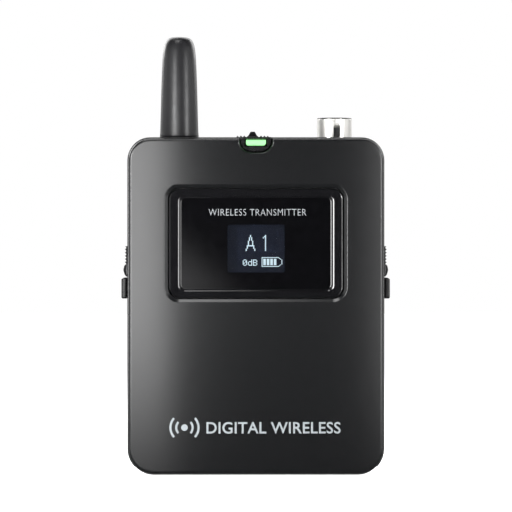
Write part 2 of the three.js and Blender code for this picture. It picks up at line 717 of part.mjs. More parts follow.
function keySwitch() {
  return join(
    box(-2.6, 2.6, -5.2, BOARD.front - GAP, -2.2, 2.2),
    rod('y', 1.2, -5.5, -5, 0, 0, 12));
}

function infraredLens() {
  return plateY(roundedShape(
    IR.x - IR.width / 2, IR.x + IR.width / 2, IR.z - 2, IR.z + 2, 0.6), -8.5, -6.8);
}

function infraredReceiver() {
  return join(
    box(IR.x - 2.5, IR.x + 2.5, -5.4, BOARD.front - GAP, IR.z - 1.8, IR.z + 1.8),
    rod('y', 1.3, -6.2, -5, IR.x, IR.z, 16));
}

// ---------------------------------------------------------------- battery cells and contacts

// A cell along X with its positive end at x = 0 and its body towards +X.
function cell() {
  const body = rod('x', CELL.radius, CELL.nubLength, CELL.length - 0.4, 0, 0, 32);
  const nub = rod('x', CELL.nub, 0, CELL.nubLength + 0.1, 0, 0, 16);
  const foot = rod('x', 5, CELL.length - 0.5, CELL.length, 0, 0, 20);
  return join(body, nub, foot);
}

const CONTACT_X = BAY.halfX - GAP; // outer face of the contact plates

function contactPlate(side, z0, z1) {
  const plate = box(CONTACT_X - 0.4, CONTACT_X, -6.5, 5.5, z0, z1);
  return side > 0 ? plate : mirrorX(plate);
}

function contactSpring(side, z) {
  const wireRadius = 0.35;
  const spring = toSolid(wire(new Coil(22.9, CONTACT_X - 0.3, 2.2, 4.6, 3.5), wireRadius, 35))
    .translate([0, CELL.y, z]);
  return side > 0 ? spring : mirrorX(spring);
}

function bridgeContact() {
  return join(contactPlate(-1, 10, 36.2), contactSpring(-1, CELL.lowZ));
}

function negativeContact() {
  return join(contactPlate(1, 25.5, 36.2), contactSpring(1, CELL.highZ));
}

function positiveContact() {
  return contactPlate(1, 10, 20.8);
}

// ---------------------------------------------------------------- assembly

const { caseBlack, coverPaint, gloss, pane, rubber, chrome, steel, blackSteel, gold } = MATERIALS;
const { insulator, board, chip, lamp, display, infrared, key, foam, label } = MATERIALS;

function housing() {
  const group = new THREE.Group();
  group.add(
    piece('rear_case', rearCase(), caseBlack),
    piece('inner_chassis', chassis(), caseBlack),
    piece('rating_label', ratingLabel(), label),
    piece('aerial_sleeve', aerialSleeve(), rubber),
    piece('aerial_stud', aerialStud(), gold),
    piece('aerial_coil', aerialCoil(), gold),
    piece('mic_socket_shell', socketShell(), chrome),
    piece('mic_socket_nut', socketNut(), steel),
    piece('mic_socket_insert', socketInsert(), insulator),
    piece('mic_socket_board', socketBoard(), board),
    piece('switch_body', switchBody(), chip),
    piece('light_pipe', lightPipe(), lamp),
    piece('status_lamp', statusLamp(), lamp),
    piece('main_board', mainBoard(), board),
    piece('shield_can', shieldCan(), steel),
    piece('processor_chip', box(4, 14, -2.5, -1.2, 54, 64), chip),
    piece('power_inductor', rod('y', 3.2, -2.5, 1.2, 15, 48.5, 20), chip),
    piece('audio_capacitor', rod('y', 2.6, -2.5, 3.2, 3.5, 47.5, 20), steel),
    piece('display_glass', displayGlass(), display),
    piece('display_holder', displayHolder(), insulator),
    piece('infrared_lens', infraredLens(), infrared),
    piece('infrared_receiver', infraredReceiver(), chip),
    piece('battery_contact_bridge', bridgeContact(), steel),
    piece('battery_contact_negative', negativeContact(), steel),
    piece('battery_contact_positive', positiveContact(), steel),
  );
  SCREW_PLACES.forEach(([x, z], i) => {
    group.add(piece(`case_screw_${i + 1}`, caseScrew(), blackSteel, [x, 0, z]));
  });
  BOARD_SCREW_PLACES.forEach(([x, z], i) => {
    group.add(piece(`board_screw_${i + 1}`, boardScrew(), steel, [x, 0, z]));
  });
  CONTACT_PLACES.forEach(([x, y], i) => {
    const place = [SOCKET.x + x, TOP_PORTS_Y + y, 0];
    group.add(piece(`mic_contact_${i + 1}`, socketContact(), gold, place));
  });
  KEY.places.forEach((z, i) => {
    group.add(piece(`key_switch_${i + 1}`, keySwitch(), chip, [KEY.x, 0, z]));
  });
  const cellStart = CONTACT_X - 0.7;
  const upper = piece('cell_upper', cell(), MATERIALS.cell, [-cellStart, CELL.y, CELL.highZ]);
  const lower = piece('cell_lower', cell(), MATERIALS.cell, [cellStart, CELL.y, CELL.lowZ]);
  lower.rotation.z = Math.PI;
  group.add(upper, lower);
  return group;
}

function coverGroup() {
  const group = new THREE.Group();
  group.add(
    piece('front_cover', frontCover(), coverPaint),
    piece('window_bezel', windowBezel(), gloss),
    piece('window_pane', windowPane(), pane),
    piece('battery_pad', batteryPad(), foam),
    piece('hinge_pin_left', hingePin(), steel, [-HINGE.lugX, HINGE.y, HINGE.z]),
    piece('hinge_pin_right', hingePin(), steel, [HINGE.lugX, HINGE.y, HINGE.z]),
  );
  return group;
}

function latchGroup(side, name) {
  const group = new THREE.Group();
  const hand = (solid) => (side > 0 ? solid : mirrorX(solid));
  const springPlace = [0, 0.9, 54.8];
  group.add(
    piece(`latch_${name}`, hand(latch()), caseBlack),
    piece(`latch_spring_${name}`, hand(latchSpring()), steel, springPlace),
  );
  return group;
}

function keysGroup() {
  const group = new THREE.Group();
  const names = ['up', 'set', 'down'];
  KEY.places.forEach((z, i) => {
    group.add(piece(`key_${names[i]}`, keyCap(), key, [KEY.x, 0, z]));
  });
  return group;
}

const transmitter = new THREE.Group();
transmitter.add(
  housing(),
  coverGroup(),
  latchGroup(-1, 'left'),
  latchGroup(1, 'right'),
  keysGroup(),
  piece('mute_slider', muteSlider(), caseBlack, [SLIDER.x, 0, 0]),
  piece('belt_clip', beltClip(), blackSteel),
);

export default transmitter;
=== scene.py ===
"""Wireless bodypack transmitter: the looks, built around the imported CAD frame.

Lengths in this file are millimetres until a mesh is made, and metres after that. X is to the
right seen from the front, Y goes away from the viewer and Z is up.
"""

import math

import bmesh
import bpy
from mathutils import Matrix, Vector


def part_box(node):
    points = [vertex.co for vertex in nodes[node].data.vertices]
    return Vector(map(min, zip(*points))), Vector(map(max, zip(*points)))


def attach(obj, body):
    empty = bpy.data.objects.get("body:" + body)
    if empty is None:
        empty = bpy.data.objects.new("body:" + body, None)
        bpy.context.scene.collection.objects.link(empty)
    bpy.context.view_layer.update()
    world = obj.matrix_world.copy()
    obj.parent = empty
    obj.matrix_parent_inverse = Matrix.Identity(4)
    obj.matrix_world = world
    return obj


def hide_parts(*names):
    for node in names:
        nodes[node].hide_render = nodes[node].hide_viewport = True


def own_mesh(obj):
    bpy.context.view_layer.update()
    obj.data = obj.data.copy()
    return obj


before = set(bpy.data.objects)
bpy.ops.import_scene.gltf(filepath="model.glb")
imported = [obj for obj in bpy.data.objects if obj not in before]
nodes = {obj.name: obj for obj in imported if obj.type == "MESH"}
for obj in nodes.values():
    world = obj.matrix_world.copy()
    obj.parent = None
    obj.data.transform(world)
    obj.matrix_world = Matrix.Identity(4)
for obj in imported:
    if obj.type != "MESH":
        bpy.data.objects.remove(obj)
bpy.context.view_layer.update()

MM = 0.001


def box_of(node):
    """A CAD node's lowest and highest corner, in millimetres."""
    low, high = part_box(node)
    return low / MM, high / MM


CASE_HIGH = box_of("rear_case")[1]
COVER_LOW, COVER_HIGH = box_of("front_cover")
PANE_LOW, PANE_HIGH = box_of("window_pane")
BEZEL_LOW, BEZEL_HIGH = box_of("window_bezel")
SOCKET_LOW, SOCKET_HIGH = box_of("mic_socket_shell")
AERIAL_LOW, AERIAL_HIGH = box_of("aerial_sleeve")
LATCH_LOW, LATCH_HIGH = box_of("latch_right")
CLIP_LOW, CLIP_HIGH = box_of("belt_clip")
SLIDER_LOW, SLIDER_HIGH = box_of("mute_slider")
LAMP_LOW, LAMP_HIGH = box_of("light_pipe")

HALF_WIDTH = CASE_HIGH.x
TOP = CASE_HIGH.z
BACK = CASE_HIGH.y
CASE_FRONT = -8.6
FACE = COVER_LOW.y
TOP_RADIUS, LOW_RADIUS = 5.9, 6.7
WALL = 1.9
COVER_INSET = HALF_WIDTH - COVER_HIGH.x
COVER_PLATE = 1.7
COVER_RIM = -8.9
HINGE = (-9.2, 2.8)
WINDOW_Z = (PANE_LOW.z + PANE_HIGH.z) / 2
WINDOW_RADIUS = 2.7
WINDOW_SEAT = -9.2
AERIAL_X = (AERIAL_LOW.x + AERIAL_HIGH.x) / 2
SOCKET_X = (SOCKET_LOW.x + SOCKET_HIGH.x) / 2
SLIDER_X = (SLIDER_LOW.x + SLIDER_HIGH.x) / 2
AXIS_Y = 1.5  # of the aerial, the socket and the clip's pegs
PEG_Z = 47.9
SPRING_Z = 54.8
GAP = 0.3  # between a piece and the opening it sits in
CHAMFER = 0.15
INK = 0.03
CAPITAL_SHARE = 0.72  # of the font's size, in height


# -------------------- outlines and solids


def rounded(corners, steps=7):
    """A closed outline with round corners, as (point, outward normal) pairs.

    corners are (u, v, radius), anticlockwise; a corner that turns inwards is rounded too.
    """
    made = []
    for i, (u, v, radius) in enumerate(corners):
        here = Vector((u, v))
        into = (here - Vector(corners[i - 1][:2])).normalized()
        out = (Vector(corners[(i + 1) % len(corners)][:2]) - here).normalized()
        turn = math.atan2(into.x * out.y - into.y * out.x, into.dot(out))
        side = 1 if turn > 0 else -1
        normal = Vector((into.y, -into.x))
        start = here - into * radius * math.tan(abs(turn) / 2)
        centre = start - normal * radius * side
        for k in range(steps + 1):
            aim = Matrix.Rotation(turn * k / steps, 2) @ normal
            made.append((centre + aim * radius * side, aim))
    return made


def rectangle(u0, u1, v0, v1, radius, high_radius=None):
    """Corners of a rectangle; the two upper corners may have a radius of their own."""
    upper = radius if high_radius is None else high_radius
    return [(u0, v0, radius), (u1, v0, radius), (u1, v1, upper), (u0, v1, upper)]


def around(node, gap, radius):
    """Corners of a rectangle round a CAD node seen from the front, a gap larger all round."""
    low, high = box_of(node)
    return rectangle(low.x - gap, high.x + gap, low.z - gap, high.z + gap, radius)


PLANES = {
    "xz": lambda u, v, w: (u, w, v),
    "xy": lambda u, v, w: (u, v, w),
    "yz": lambda u, v, w: (w, u, v),
}


def ring(outline, plane, grow, depth):
    """The outline grown by an amount and set at a depth across its plane."""
    spot = PLANES[plane]
    return [spot(p.x + n.x * grow, p.y + n.y * grow, depth) for p, n in outline]


def quarter(steps):
    """(share, fall) pairs along a quarter turn: the sine, and 1 minus the cosine."""
    turns = [math.pi / 2 * k / steps for k in range(steps + 1)]
    return [(math.sin(a), 1 - math.cos(a)) for a in turns]


def round_ends(start, end, start_radius=0.0, end_radius=0.0, steps=6):
    """(growth, depth) levels from start to end, with the two ends rounded over."""
    way = 1 if end > start else -1
    levels = []
    for depth, inward, radius in ((start, way, start_radius), (end, -way, end_radius)):
        if radius:
            part = [(radius * (share - 1), depth + inward * radius * fall)
                    for share, fall in quarter(steps)]
        else:
            part = [(0.0, depth)]
        levels += part if inward == way else part[::-1]
    return levels


def link(mesh, name):
    thing = bpy.data.objects.new(name, mesh)
    bpy.context.scene.collection.objects.link(thing)
    return thing


def mesh_from(bm):
    """A new object from a bmesh, with doubled corners merged and faces turned outwards."""
    bmesh.ops.remove_doubles(bm, verts=bm.verts, dist=1e-7)
    bmesh.ops.recalc_face_normals(bm, faces=bm.faces)
    mesh = bpy.data.meshes.new("solid")
    bm.to_mesh(mesh)
    bm.free()
    return link(mesh, "solid")


def add_ring(bm, points):
    return [bm.verts.new(Vector(p) * MM) for p in points]


def bridge(bm, near, far):
    for i in range(len(near)):
        j = (i + 1) % len(near)
        bm.faces.new((near[i], near[j], far[j], far[i]))


def stack(rings, closed=False):
    """A solid through a list of rings of equal length, capped, or closed on itself."""
    bm = bmesh.new()
    made = [add_ring(bm, points) for points in rings]
    for near, far in zip(made, made[1:]):
        bridge(bm, near, far)
    if closed:
        bridge(bm, made[-1], made[0])
    else:
        bm.faces.new(made[0])
        bm.faces.new(made[-1])
    return mesh_from(bm)


def prism(corners, plane, levels, steps=7):
    outline = rounded(corners, steps)
    return stack([ring(outline, plane, grow, depth) for grow, depth in levels])


def turned(profile, centre, plane="xy", sides=72, closed=False):
    """A solid of revolution from (radius, height) pairs; its circles lie in the given plane."""
    if not closed:
        profile = [(max(radius, 0.001), height) for radius, height in profile]
    turns = [2 * math.pi * k / sides for k in range(sides)]
    spot = PLANES[plane]
    rings = []
    for radius, height in profile:
        rings.append([
            spot(centre[0] + radius * math.cos(a), centre[1] + radius * math.sin(a), height)
            for a in turns
        ])
    return stack(rings, closed)


def rod(radius, start, end, centre, sides=32):
    """A plain cylinder along the X axis."""
    return turned([(0, start), (radius, start), (radius, end), (0, end)], centre, "yz", sides)


def wire(points, radius, sides=10):
    """A round wire through a list of points, capped at both ends."""
    rings = []
    side = Vector((0.3, 0.5, 0.8))
    for i, point in enumerate(points):
        along = Vector(points[min(i + 1, len(points) - 1)]) - Vector(points[max(i - 1, 0)])
        along.normalize()
        side = (side - along * side.dot(along)).normalized()
        other = along.cross(side)
        turns = [2 * math.pi * k / sides for k in range(sides)]
        rings.append([
            Vector(point) + (side * math.cos(a) + other * math.sin(a)) * radius for a in turns
        ])
    return stack(rings)


def finished_mesh(thing):
    """The mesh of an object with its modifiers, or its curve, worked out."""
    graph = bpy.context.evaluated_depsgraph_get()
    return bpy.data.meshes.new_from_object(thing.evaluated_get(graph))


def combine(target, cutters, operation="DIFFERENCE"):
    """Cuts the cutters out of the target, or joins them to it, and removes them."""
    for cutter in cutters:
        modifier = target.modifiers.new("combine", "BOOLEAN")
        modifier.operation = operation
        modifier.solver = "EXACT"
        modifier.object = cutter
    target.data = finished_mesh(target)
    target.modifiers.clear()
    for cutter in cutters:
        bpy.data.objects.remove(cutter)
    return target


def join(first, other):
    """Puts two meshes in one object without cutting them."""
    bm = bmesh.new()
    bm.from_mesh(first.data)
    bm.from_mesh(other.data)
    bm.to_mesh(first.data)
    bm.free()
    bpy.data.objects.remove(other)


def mirrored(thing):
    """A copy of a solid, mirrored across the plane x = 0."""
    copy = link(thing.data.copy(), thing.name)
    copy.data.transform(Matrix.Scale(-1, 4, (1, 0, 0)))
    copy.data.flip_normals()
    return copy


def even_normals(thing):
    """Keeps flat faces flat to the eye where they meet rounded ones."""
    thing.modifiers.new("normals", "WEIGHTED_NORMAL").keep_sharp = True


def smooth(thing, angle):
    """Smooth shading, with sharp edges above an angle."""
    for face in thing.data.polygons:
        face.use_smooth = True
    thing.data.set_sharp_from_angle(angle=math.radians(angle))
    even_normals(thing)


def soften(thing, width, angle=35):
    """Rounds the sharp edges a little, as moulded and stamped pieces have them."""
    bevel = thing.modifiers.new("edges", "BEVEL")
    bevel.width = width * MM
    bevel.segments = 2
    bevel.limit_method = "ANGLE"
    bevel.angle_limit = math.radians(angle)


def place(thing, name, look, body, replaces=(), angle=32):
    """Names a finished piece, gives it its look and fixes it to its CAD body."""
    thing.name = name
    thing.data.name = name
    thing.data.materials.clear()
    thing.data.materials.append(LOOK[look])
    smooth(thing, angle)
    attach(thing, body)
    if replaces:
        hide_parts(*replaces)


# -------------------- materials


def feed(socket, value):
    """Sets a shader input to a value, or links it to another node's output."""
    if isinstance(value, bpy.types.NodeSocket):
        socket.id_data.links.new(value, socket)
    else:
        socket.default_value = value


def add_node(tree, kind, inputs=(), **settings):
    """A shader node with its settings and its inputs, which go by name or by number."""
    node = tree.nodes.new(f"ShaderNode{kind}")
    for name, value in settings.items():
        setattr(node, name, value)
    for name, value in dict(inputs).items():
        feed(node.inputs[name], value)
    return node


class Recipe:
    """A node material with a Principled shader and short helpers for its inputs."""

    def __init__(self, name, colour, roughness, metallic=0.0):
        self.material = bpy.data.materials.new(name)
        self.material.use_nodes = True
        self.tree = self.material.node_tree
        self.shader = self.tree.nodes["Principled BSDF"]
        self.set(Base_Color=(*colour, 1), Roughness=roughness, Metallic=metallic)
        self.colour = colour
        self.roughness = roughness
        self.coords = add_node(self.tree, "TexCoord").outputs["Object"]

    def set(self, **values):
        """Feeds inputs of the shader; an underscore stands for a space in a name."""
        for name, value in values.items():
            feed(self.shader.inputs[name.replace("_", " ")], value)
        return self

    def noise(self, per_mm, detail=3.0, stretch=(1, 1, 1)):
        spot = add_node(self.tree, "Mapping", {"Vector": self.coords, "Scale": stretch})
        return add_node(self.tree, "TexNoise", {
            "Vector": spot.outputs["Vector"], "Scale": per_mm / MM, "Detail": detail,
        }).outputs["Fac"]

    def spread(self, source, low, high, start=0.3, end=0.7):
        return add_node(self.tree, "MapRange", {
            "Value": source, "From Min": start, "From Max": end, "To Min": low, "To Max": high,
        }).outputs["Result"]

    def mottle(self, per_mm, amount, detail=3.0):
        """Varies the base colour up and down by an amount."""
        mix = add_node(self.tree, "Mix", {
            "A": (*[c * (1 - amount) for c in self.colour], 1),
            "B": (*[min(1, c * (1 + amount)) for c in self.colour], 1),
            "Factor": self.spread(self.noise(per_mm, detail), 0, 1),
        }, data_type="RGBA")
        return self.set(Base_Color=mix.outputs["Result"])

    def wear(self, per_mm, amount, stretch=(1, 1, 1)):
        """Varies the roughness, as handling and moulding do."""
        low, high = self.roughness - amount, self.roughness + amount
        return self.set(Roughness=self.spread(self.noise(per_mm, 4, stretch), low, high))

    def grain(self, per_mm, height, detail=2.0, stretch=(1, 1, 1), strength=0.4):
        """Fine relief: a moulded texture, brush marks or paint grain."""
        bump = add_node(self.tree, "Bump", {
            "Distance": height * MM, "Strength": strength,
            "Height": self.noise(per_mm, detail, stretch),
        })
        return self.set(Normal=bump.outputs["Normal"])

    def shine(self, level):
        """How much the surface reflects; 0.5 is plain plastic."""
        return self.set(Specular_IOR_Level=level)

    def glow(self, colour, strength):
        return self.set(Emission_Color=(*colour, 1), Emission_Strength=strength)


def bands_material(name, metallic, stops):
    """Bands of colour along the object's own X axis: (millimetres, colour) pairs."""
    recipe = Recipe(name, stops[0][1], 0.3, metallic)
    length = stops[-1][0]
    split = add_node(recipe.tree, "SeparateXYZ", {"Vector": recipe.coords})
    share = recipe.spread(split.outputs["X"], 0, 1, 0, length * MM)
    ramp = add_node(recipe.tree, "ValToRGB", {"Fac": share})
    ramp.color_ramp.interpolation = "CONSTANT"
    elements = ramp.color_ramp.elements
    elements[0].color = (*stops[0][1], 1)
    elements[1].position = stops[1][0] / length
    elements[1].color = (*stops[1][1], 1)
    for at, colour in stops[2:-1]:
        elements.new(at / length).color = (*colour, 1)
    return recipe.set(Base_Color=ramp.outputs["Color"])


def make_materials():
    """One finished material for each kind of surface."""
    made = {
        "cover": Recipe("cover_satin", (0.004, 0.0042, 0.0046), 0.23)
        .mottle(0.6, 0.12).wear(0.35, 0.01).grain(5.0, 0.004, strength=0.2),
        "case": Recipe("case_moulded", (0.006, 0.006, 0.0064), 0.27)
        .mottle(0.5, 0.1).wear(0.4, 0.012).grain(4.0, 0.008, strength=0.2).shine(0.36),
        "trim": Recipe("trim_moulded", (0.004, 0.004, 0.0044), 0.3)
        .mottle(0.8, 0.15).wear(0.8, 0.03).grain(6.0, 0.01).shine(0.2),
        "gloss": Recipe("bezel_gloss", (0.003, 0.003, 0.0035), 0.07)
        .mottle(0.4, 0.2).wear(0.25, 0.02),
        "mask": Recipe("pane_print", (0.0015, 0.0015, 0.0018), 0.05)
        .mottle(0.5, 0.2).wear(0.5, 0.01).shine(0.11),
        "glass": Recipe("pane_glass", (0.94, 0.95, 0.97), 0.02).wear(0.2, 0.01),
        "rubber": Recipe("aerial_rubber", (0.010, 0.010, 0.011), 0.34)
        .mottle(0.7, 0.12).wear(0.5, 0.05).grain(3.5, 0.02).shine(0.36),
        "nickel": Recipe("socket_nickel", (0.74, 0.73, 0.70), 0.38, 1.0)
        .mottle(0.6, 0.04).wear(0.7, 0.04, (1, 1, 9)).grain(1.2, 0.004, 2, (1, 1, 14)),
        "steel": Recipe("plain_steel", (0.56, 0.56, 0.58), 0.32, 1.0)
        .mottle(0.8, 0.08).wear(1.0, 0.08).grain(2.0, 0.006, 2, (8, 1, 1)),
        "black_steel": Recipe("clip_black_coat", (0.005, 0.005, 0.0054), 0.32)
        .mottle(1.0, 0.15).wear(0.8, 0.03).grain(5.0, 0.015).shine(0.22),
        "gold": Recipe("contact_gold", (0.83, 0.60, 0.24), 0.22, 1.0)
        .mottle(1.0, 0.06).wear(1.0, 0.05),
        "insulator": Recipe("insulator_black", (0.012, 0.012, 0.012), 0.5)
        .mottle(1.0, 0.2).grain(5.0, 0.01).shine(0.25),
        "board": Recipe("board_green", (0.012, 0.10, 0.045), 0.35)
        .mottle(0.9, 0.35, 6).grain(2.0, 0.02),
        "chip": Recipe("chip_black", (0.012, 0.012, 0.013), 0.45)
        .mottle(1.2, 0.2).grain(5.0, 0.01),
        "display": Recipe("display_dark", (0.004, 0.005, 0.009), 0.1)
        .mottle(0.3, 0.1).wear(0.3, 0.02).glow((0.016, 0.019, 0.027), 0.42),
        "infrared": Recipe("infrared_window", (0.035, 0.003, 0.006), 0.08)
        .mottle(0.5, 0.3).wear(0.4, 0.03),
        "key": Recipe("key_grey", (0.075, 0.08, 0.086), 0.5).mottle(0.8, 0.1).grain(5.0, 0.015),
        "foam": Recipe("pad_foam", (0.012, 0.012, 0.013), 0.9)
        .mottle(1.5, 0.35, 5).grain(1.8, 0.25, 5),
        "plate": Recipe("rating_plate", (0.30, 0.31, 0.32), 0.38, 0.6)
        .mottle(0.8, 0.05).grain(1.5, 0.01, 2, (10, 1, 1)),
        "ink": Recipe("print_white", (0.19, 0.21, 0.22), 0.5).mottle(2.0, 0.06),
        "faint_ink": Recipe("print_grey", (0.17, 0.18, 0.19), 0.5).mottle(2.0, 0.08),
        "readout": Recipe("readout_lit", (0.05, 0.06, 0.07), 0.4)
        .mottle(2.0, 0.05).glow((0.66, 0.84, 0.90), 0.9),
        "lamp": Recipe("lamp_green", (0.10, 0.34, 0.11), 0.3)
        .mottle(0.5, 0.06).glow((0.40, 0.93, 0.38), 0.75),
    }
    made["glass"].set(Transmission_Weight=1.0, IOR=1.05)
    made["gloss"].set(Coat_Weight=0.5, Coat_Roughness=0.03)
    made["lamp"].set(Subsurface_Weight=0.1)
    made["jacket"] = bands_material("cell_jacket", 0.55, [
        (0.0, (0.62, 0.62, 0.64)), (1.6, (0.55, 0.56, 0.58)), (13.0, (0.03, 0.045, 0.07)),
        (48.6, (0.62, 0.62, 0.64)), (50.5, (0.62, 0.62, 0.64)),
    ]).wear(0.6, 0.02)
    return {name: recipe.material for name, recipe in made.items()}


LOOK = make_materials()


# -------------------- rear case


def body_corners(inset=0.0):
    half = HALF_WIDTH - inset
    return rectangle(-half, half, inset, TOP - inset, LOW_RADIUS - inset, TOP_RADIUS - inset)


def wall_hole(corners, plane, face, depth):
    """A cutter through a wall, with a small chamfer at the wall's outer face."""
    levels = [(0, face - depth), (0, face - CHAMFER), (CHAMFER, face), (CHAMFER, face + 1)]
    return prism(corners, plane, levels)


def round_top_hole(x, radius):
    edge, low, high = 0.2, TOP - WALL - 1, TOP + 1
    profile = [
        (0, low), (radius, low), (radius, TOP - edge), (radius + edge, TOP), (radius + edge, high),
        (0, high),
    ]
    return turned(profile, (x, AXIS_Y))


def notch_corners(shrink, top):
    """The U-shaped bay round the status lamp."""
    half, radius, foot = 4.25 - shrink, 3.1 - shrink, COVER_HIGH.z - 3.6 + shrink
    return [(-half, foot, radius), (half, foot, radius), (half, top, 0.05), (-half, top, 0.05)]


def screw_recess(node):
    """A cutter that sinks a screw's head in the back."""
    low, high = box_of(node)
    floor, mouth = BACK - 1.1, BACK + 1
    profile = [(0, floor), (2.6, floor), (2.6, BACK - 0.2), (2.8, BACK), (2.8, mouth), (0, mouth)]
    return turned(profile, ((low.x + high.x) / 2, (low.z + high.z) / 2), "xz", 40)


def case_cutters():
    """Cutters for all that goes through the case's walls or sits in them."""
    peg = rod(1.8, 31.7, 34, (AXIS_Y, PEG_Z))
    opening = rectangle(LATCH_LOW.y - GAP, -0.3, 50.6, 59.0, 0.3)
    latch = wall_hole(opening, "yz", HALF_WIDTH, 3.0)
    return [
        peg, latch, mirrored(peg), mirrored(latch),
        rod(3.3, -31.1, 31.1, HINGE, 64),
        prism(around("light_pipe", GAP, 0.3), "xz", [(0, -10.5), (0, -5.4)]),
        wall_hole(rectangle(-5.3, 5.3, -4.8, 0.8, 0.4), "xy", TOP, WALL + 1),
        round_top_hole(AERIAL_X, 4.0),
        round_top_hole(SOCKET_X, SOCKET_HIGH.x - SOCKET_X + 0.2),
        prism(around("rating_label", GAP, 1.5), "xz", [(0, BACK - 0.4), (0, BACK + 1)]),
        *[screw_recess(f"case_screw_{i}") for i in range(1, 5)],
    ]


def build_case():
    """The rear shell: hollow, with a tab that fills the cover's lamp bay from behind."""
    shell = prism(body_corners(), "xz", round_ends(CASE_FRONT, BACK, 0.35, 2.6), 10)
    hollow = prism(body_corners(WALL), "xz", round_ends(CASE_FRONT - 3, BACK - 2, 0, 1.5), 10)
    combine(shell, [hollow])
    tab = prism(notch_corners(GAP, TOP), "xz", round_ends(-10.2, CASE_FRONT + 0.5, 0.25, 0))
    combine(shell, [tab], "UNION")
    combine(shell, case_cutters())
    place(shell, "case_shell", "case", "housing", ["rear_case"])


# -------------------- front cover


def window_outline(grow):
    half_x, half_z = BEZEL_HIGH.x + grow, (BEZEL_HIGH.z - BEZEL_LOW.z) / 2 + grow
    return rectangle(-half_x, half_x, WINDOW_Z - half_z, WINDOW_Z + half_z, WINDOW_RADIUS + grow)


def fill_between(bm, first, second):
    """Fills the flat face between two rings with triangles."""
    edges = []
    for made in (first, second):
        for i, vert in enumerate(made):
            edge = bm.edges.get((vert, made[(i + 1) % len(made)]))
            edges.append(edge or bm.edges.new((vert, made[(i + 1) % len(made)])))
    bmesh.ops.triangle_fill(bm, use_beauty=True, edges=edges)


def cover_skin():
    """The cover as one closed skin: face, round edge, rim, inner tray and window wall."""
    edge, rim_wall, ledge = 0.7, 1.3, 2.0
    outer = rounded(body_corners(COVER_INSET), 10)
    window = rounded(window_outline(0), 10)
    inner_face = FACE + COVER_PLATE
    outside = [(-rim_wall, inner_face), (-rim_wall, COVER_RIM + 0.1)]
    outside += [(0.1 - rim_wall, COVER_RIM), (-0.12, COVER_RIM), (0, COVER_RIM - 0.12)]
    outside += round_ends(FACE, FACE + 2 * edge, edge, 0)[:-1][::-1]
    lip = [(1.36, FACE), (1.24, FACE + 0.02), (1.14, FACE + 0.08), (0.46, FACE + 0.56)]
    lip += [(0.34, FACE + 0.68), (0.3, FACE + 0.8), (0.3, WINDOW_SEAT)]
    lip += [(ledge, WINDOW_SEAT), (ledge, inner_face)]
    bm = bmesh.new()
    outer_rings = [add_ring(bm, ring(outer, "xz", *level)) for level in outside]
    lip_rings = [add_ring(bm, ring(window, "xz", *level)) for level in lip]
    for rings in (outer_rings, lip_rings):
        for near, far in zip(rings, rings[1:]):
            bridge(bm, near, far)
    fill_between(bm, outer_rings[-1], lip_rings[0])
    fill_between(bm, lip_rings[-1], outer_rings[0])
    return mesh_from(bm)


def cover_notch():
    """Cutter for the lamp's bay, flared at the face so that its edge is rounded."""
    edge = 0.45
    levels = [(0, -8), (0, FACE + edge)]
    levels += [(edge * fall, FACE + edge * (1 - share)) for share, fall in quarter(5)[1:]]
    levels.append((edge, FACE - 1))
    return prism(notch_corners(0, TOP + 3), "xz", levels, 10)


def lug_slot():
    """Clearance in the hinge bead for a lug, from shut to open."""
    reach, (hinge_y, hinge_z) = 1.6, HINGE
    corners = [(y, z, 0.01) for y, z in arc(hinge_y, hinge_z, reach, 90, 180, 8)]
    corners += [(hinge_y - reach, -1, 0.01), (-5, -1, 0.01), (-5, hinge_z + reach, 0.01)]
    return prism(corners, "yz", [(0, 18.7), (0, 23.3)], 1)


def cover_hook():
    """The hook on the cover's inside that the right latch holds."""
    corners = [
        (27.6, -9.9, 0.05), (27.6, -4.9, 0.3), (26.0, -4.9, 0.2), (26.0, -5.4, 0.05),
        (26.6, -5.4, 0.1), (26.6, -9.9, 0.05),
    ]
    return prism(corners, "xy", round_ends(52.8, 56.8, 0.04, 0.04), 4)


def build_cover():
    """The cover with its hinge bead, hooks and ribs, cut out for the lamp, lugs and pins."""
    cover = cover_skin()
    bead = turned([(0, -30.8), (2.0, -30.8), (2.35, -30.4), (2.35, 30.4), (2.0, 30.8), (0, 30.8)],
                  HINGE, "yz", 64)
    fit = prism(body_corners(COVER_INSET), "xz", [(0, -10.5), (0, 0)], 10)
    combine(bead, [fit], "INTERSECT")
    hook = cover_hook()
    ribs = [prism(rectangle(-29, 29, z - 0.4, z + 0.4, 0.2), "xz", [(0, -9.85), (0, -9.3)])
            for z in (8.5, 37.5)]
    combine(cover, [bead, mirrored(hook), hook, *ribs], "UNION")
    slot = lug_slot()
    pin = rod(0.75, 16, 26, HINGE, 24)
    combine(cover, [cover_notch(), mirrored(slot), slot, mirrored(pin), pin])
    place(cover, "cover_shell", "cover", "cover", ["front_cover"])


def bezel_ring(side, end, radius, depth):
    """A ring inside the frame's outer edge by one amount at the sides and one at the ends."""
    half_x = BEZEL_HIGH.x - side
    corners = rectangle(-half_x, half_x, BEZEL_LOW.z + end, BEZEL_HIGH.z - end, radius)
    return ring(rounded(corners, 8), "xz", 0, depth)


def pane_well(grow, depth):
    return ring(rounded(around("window_pane", -0.2, 1.2), 8), "xz", grow, depth)


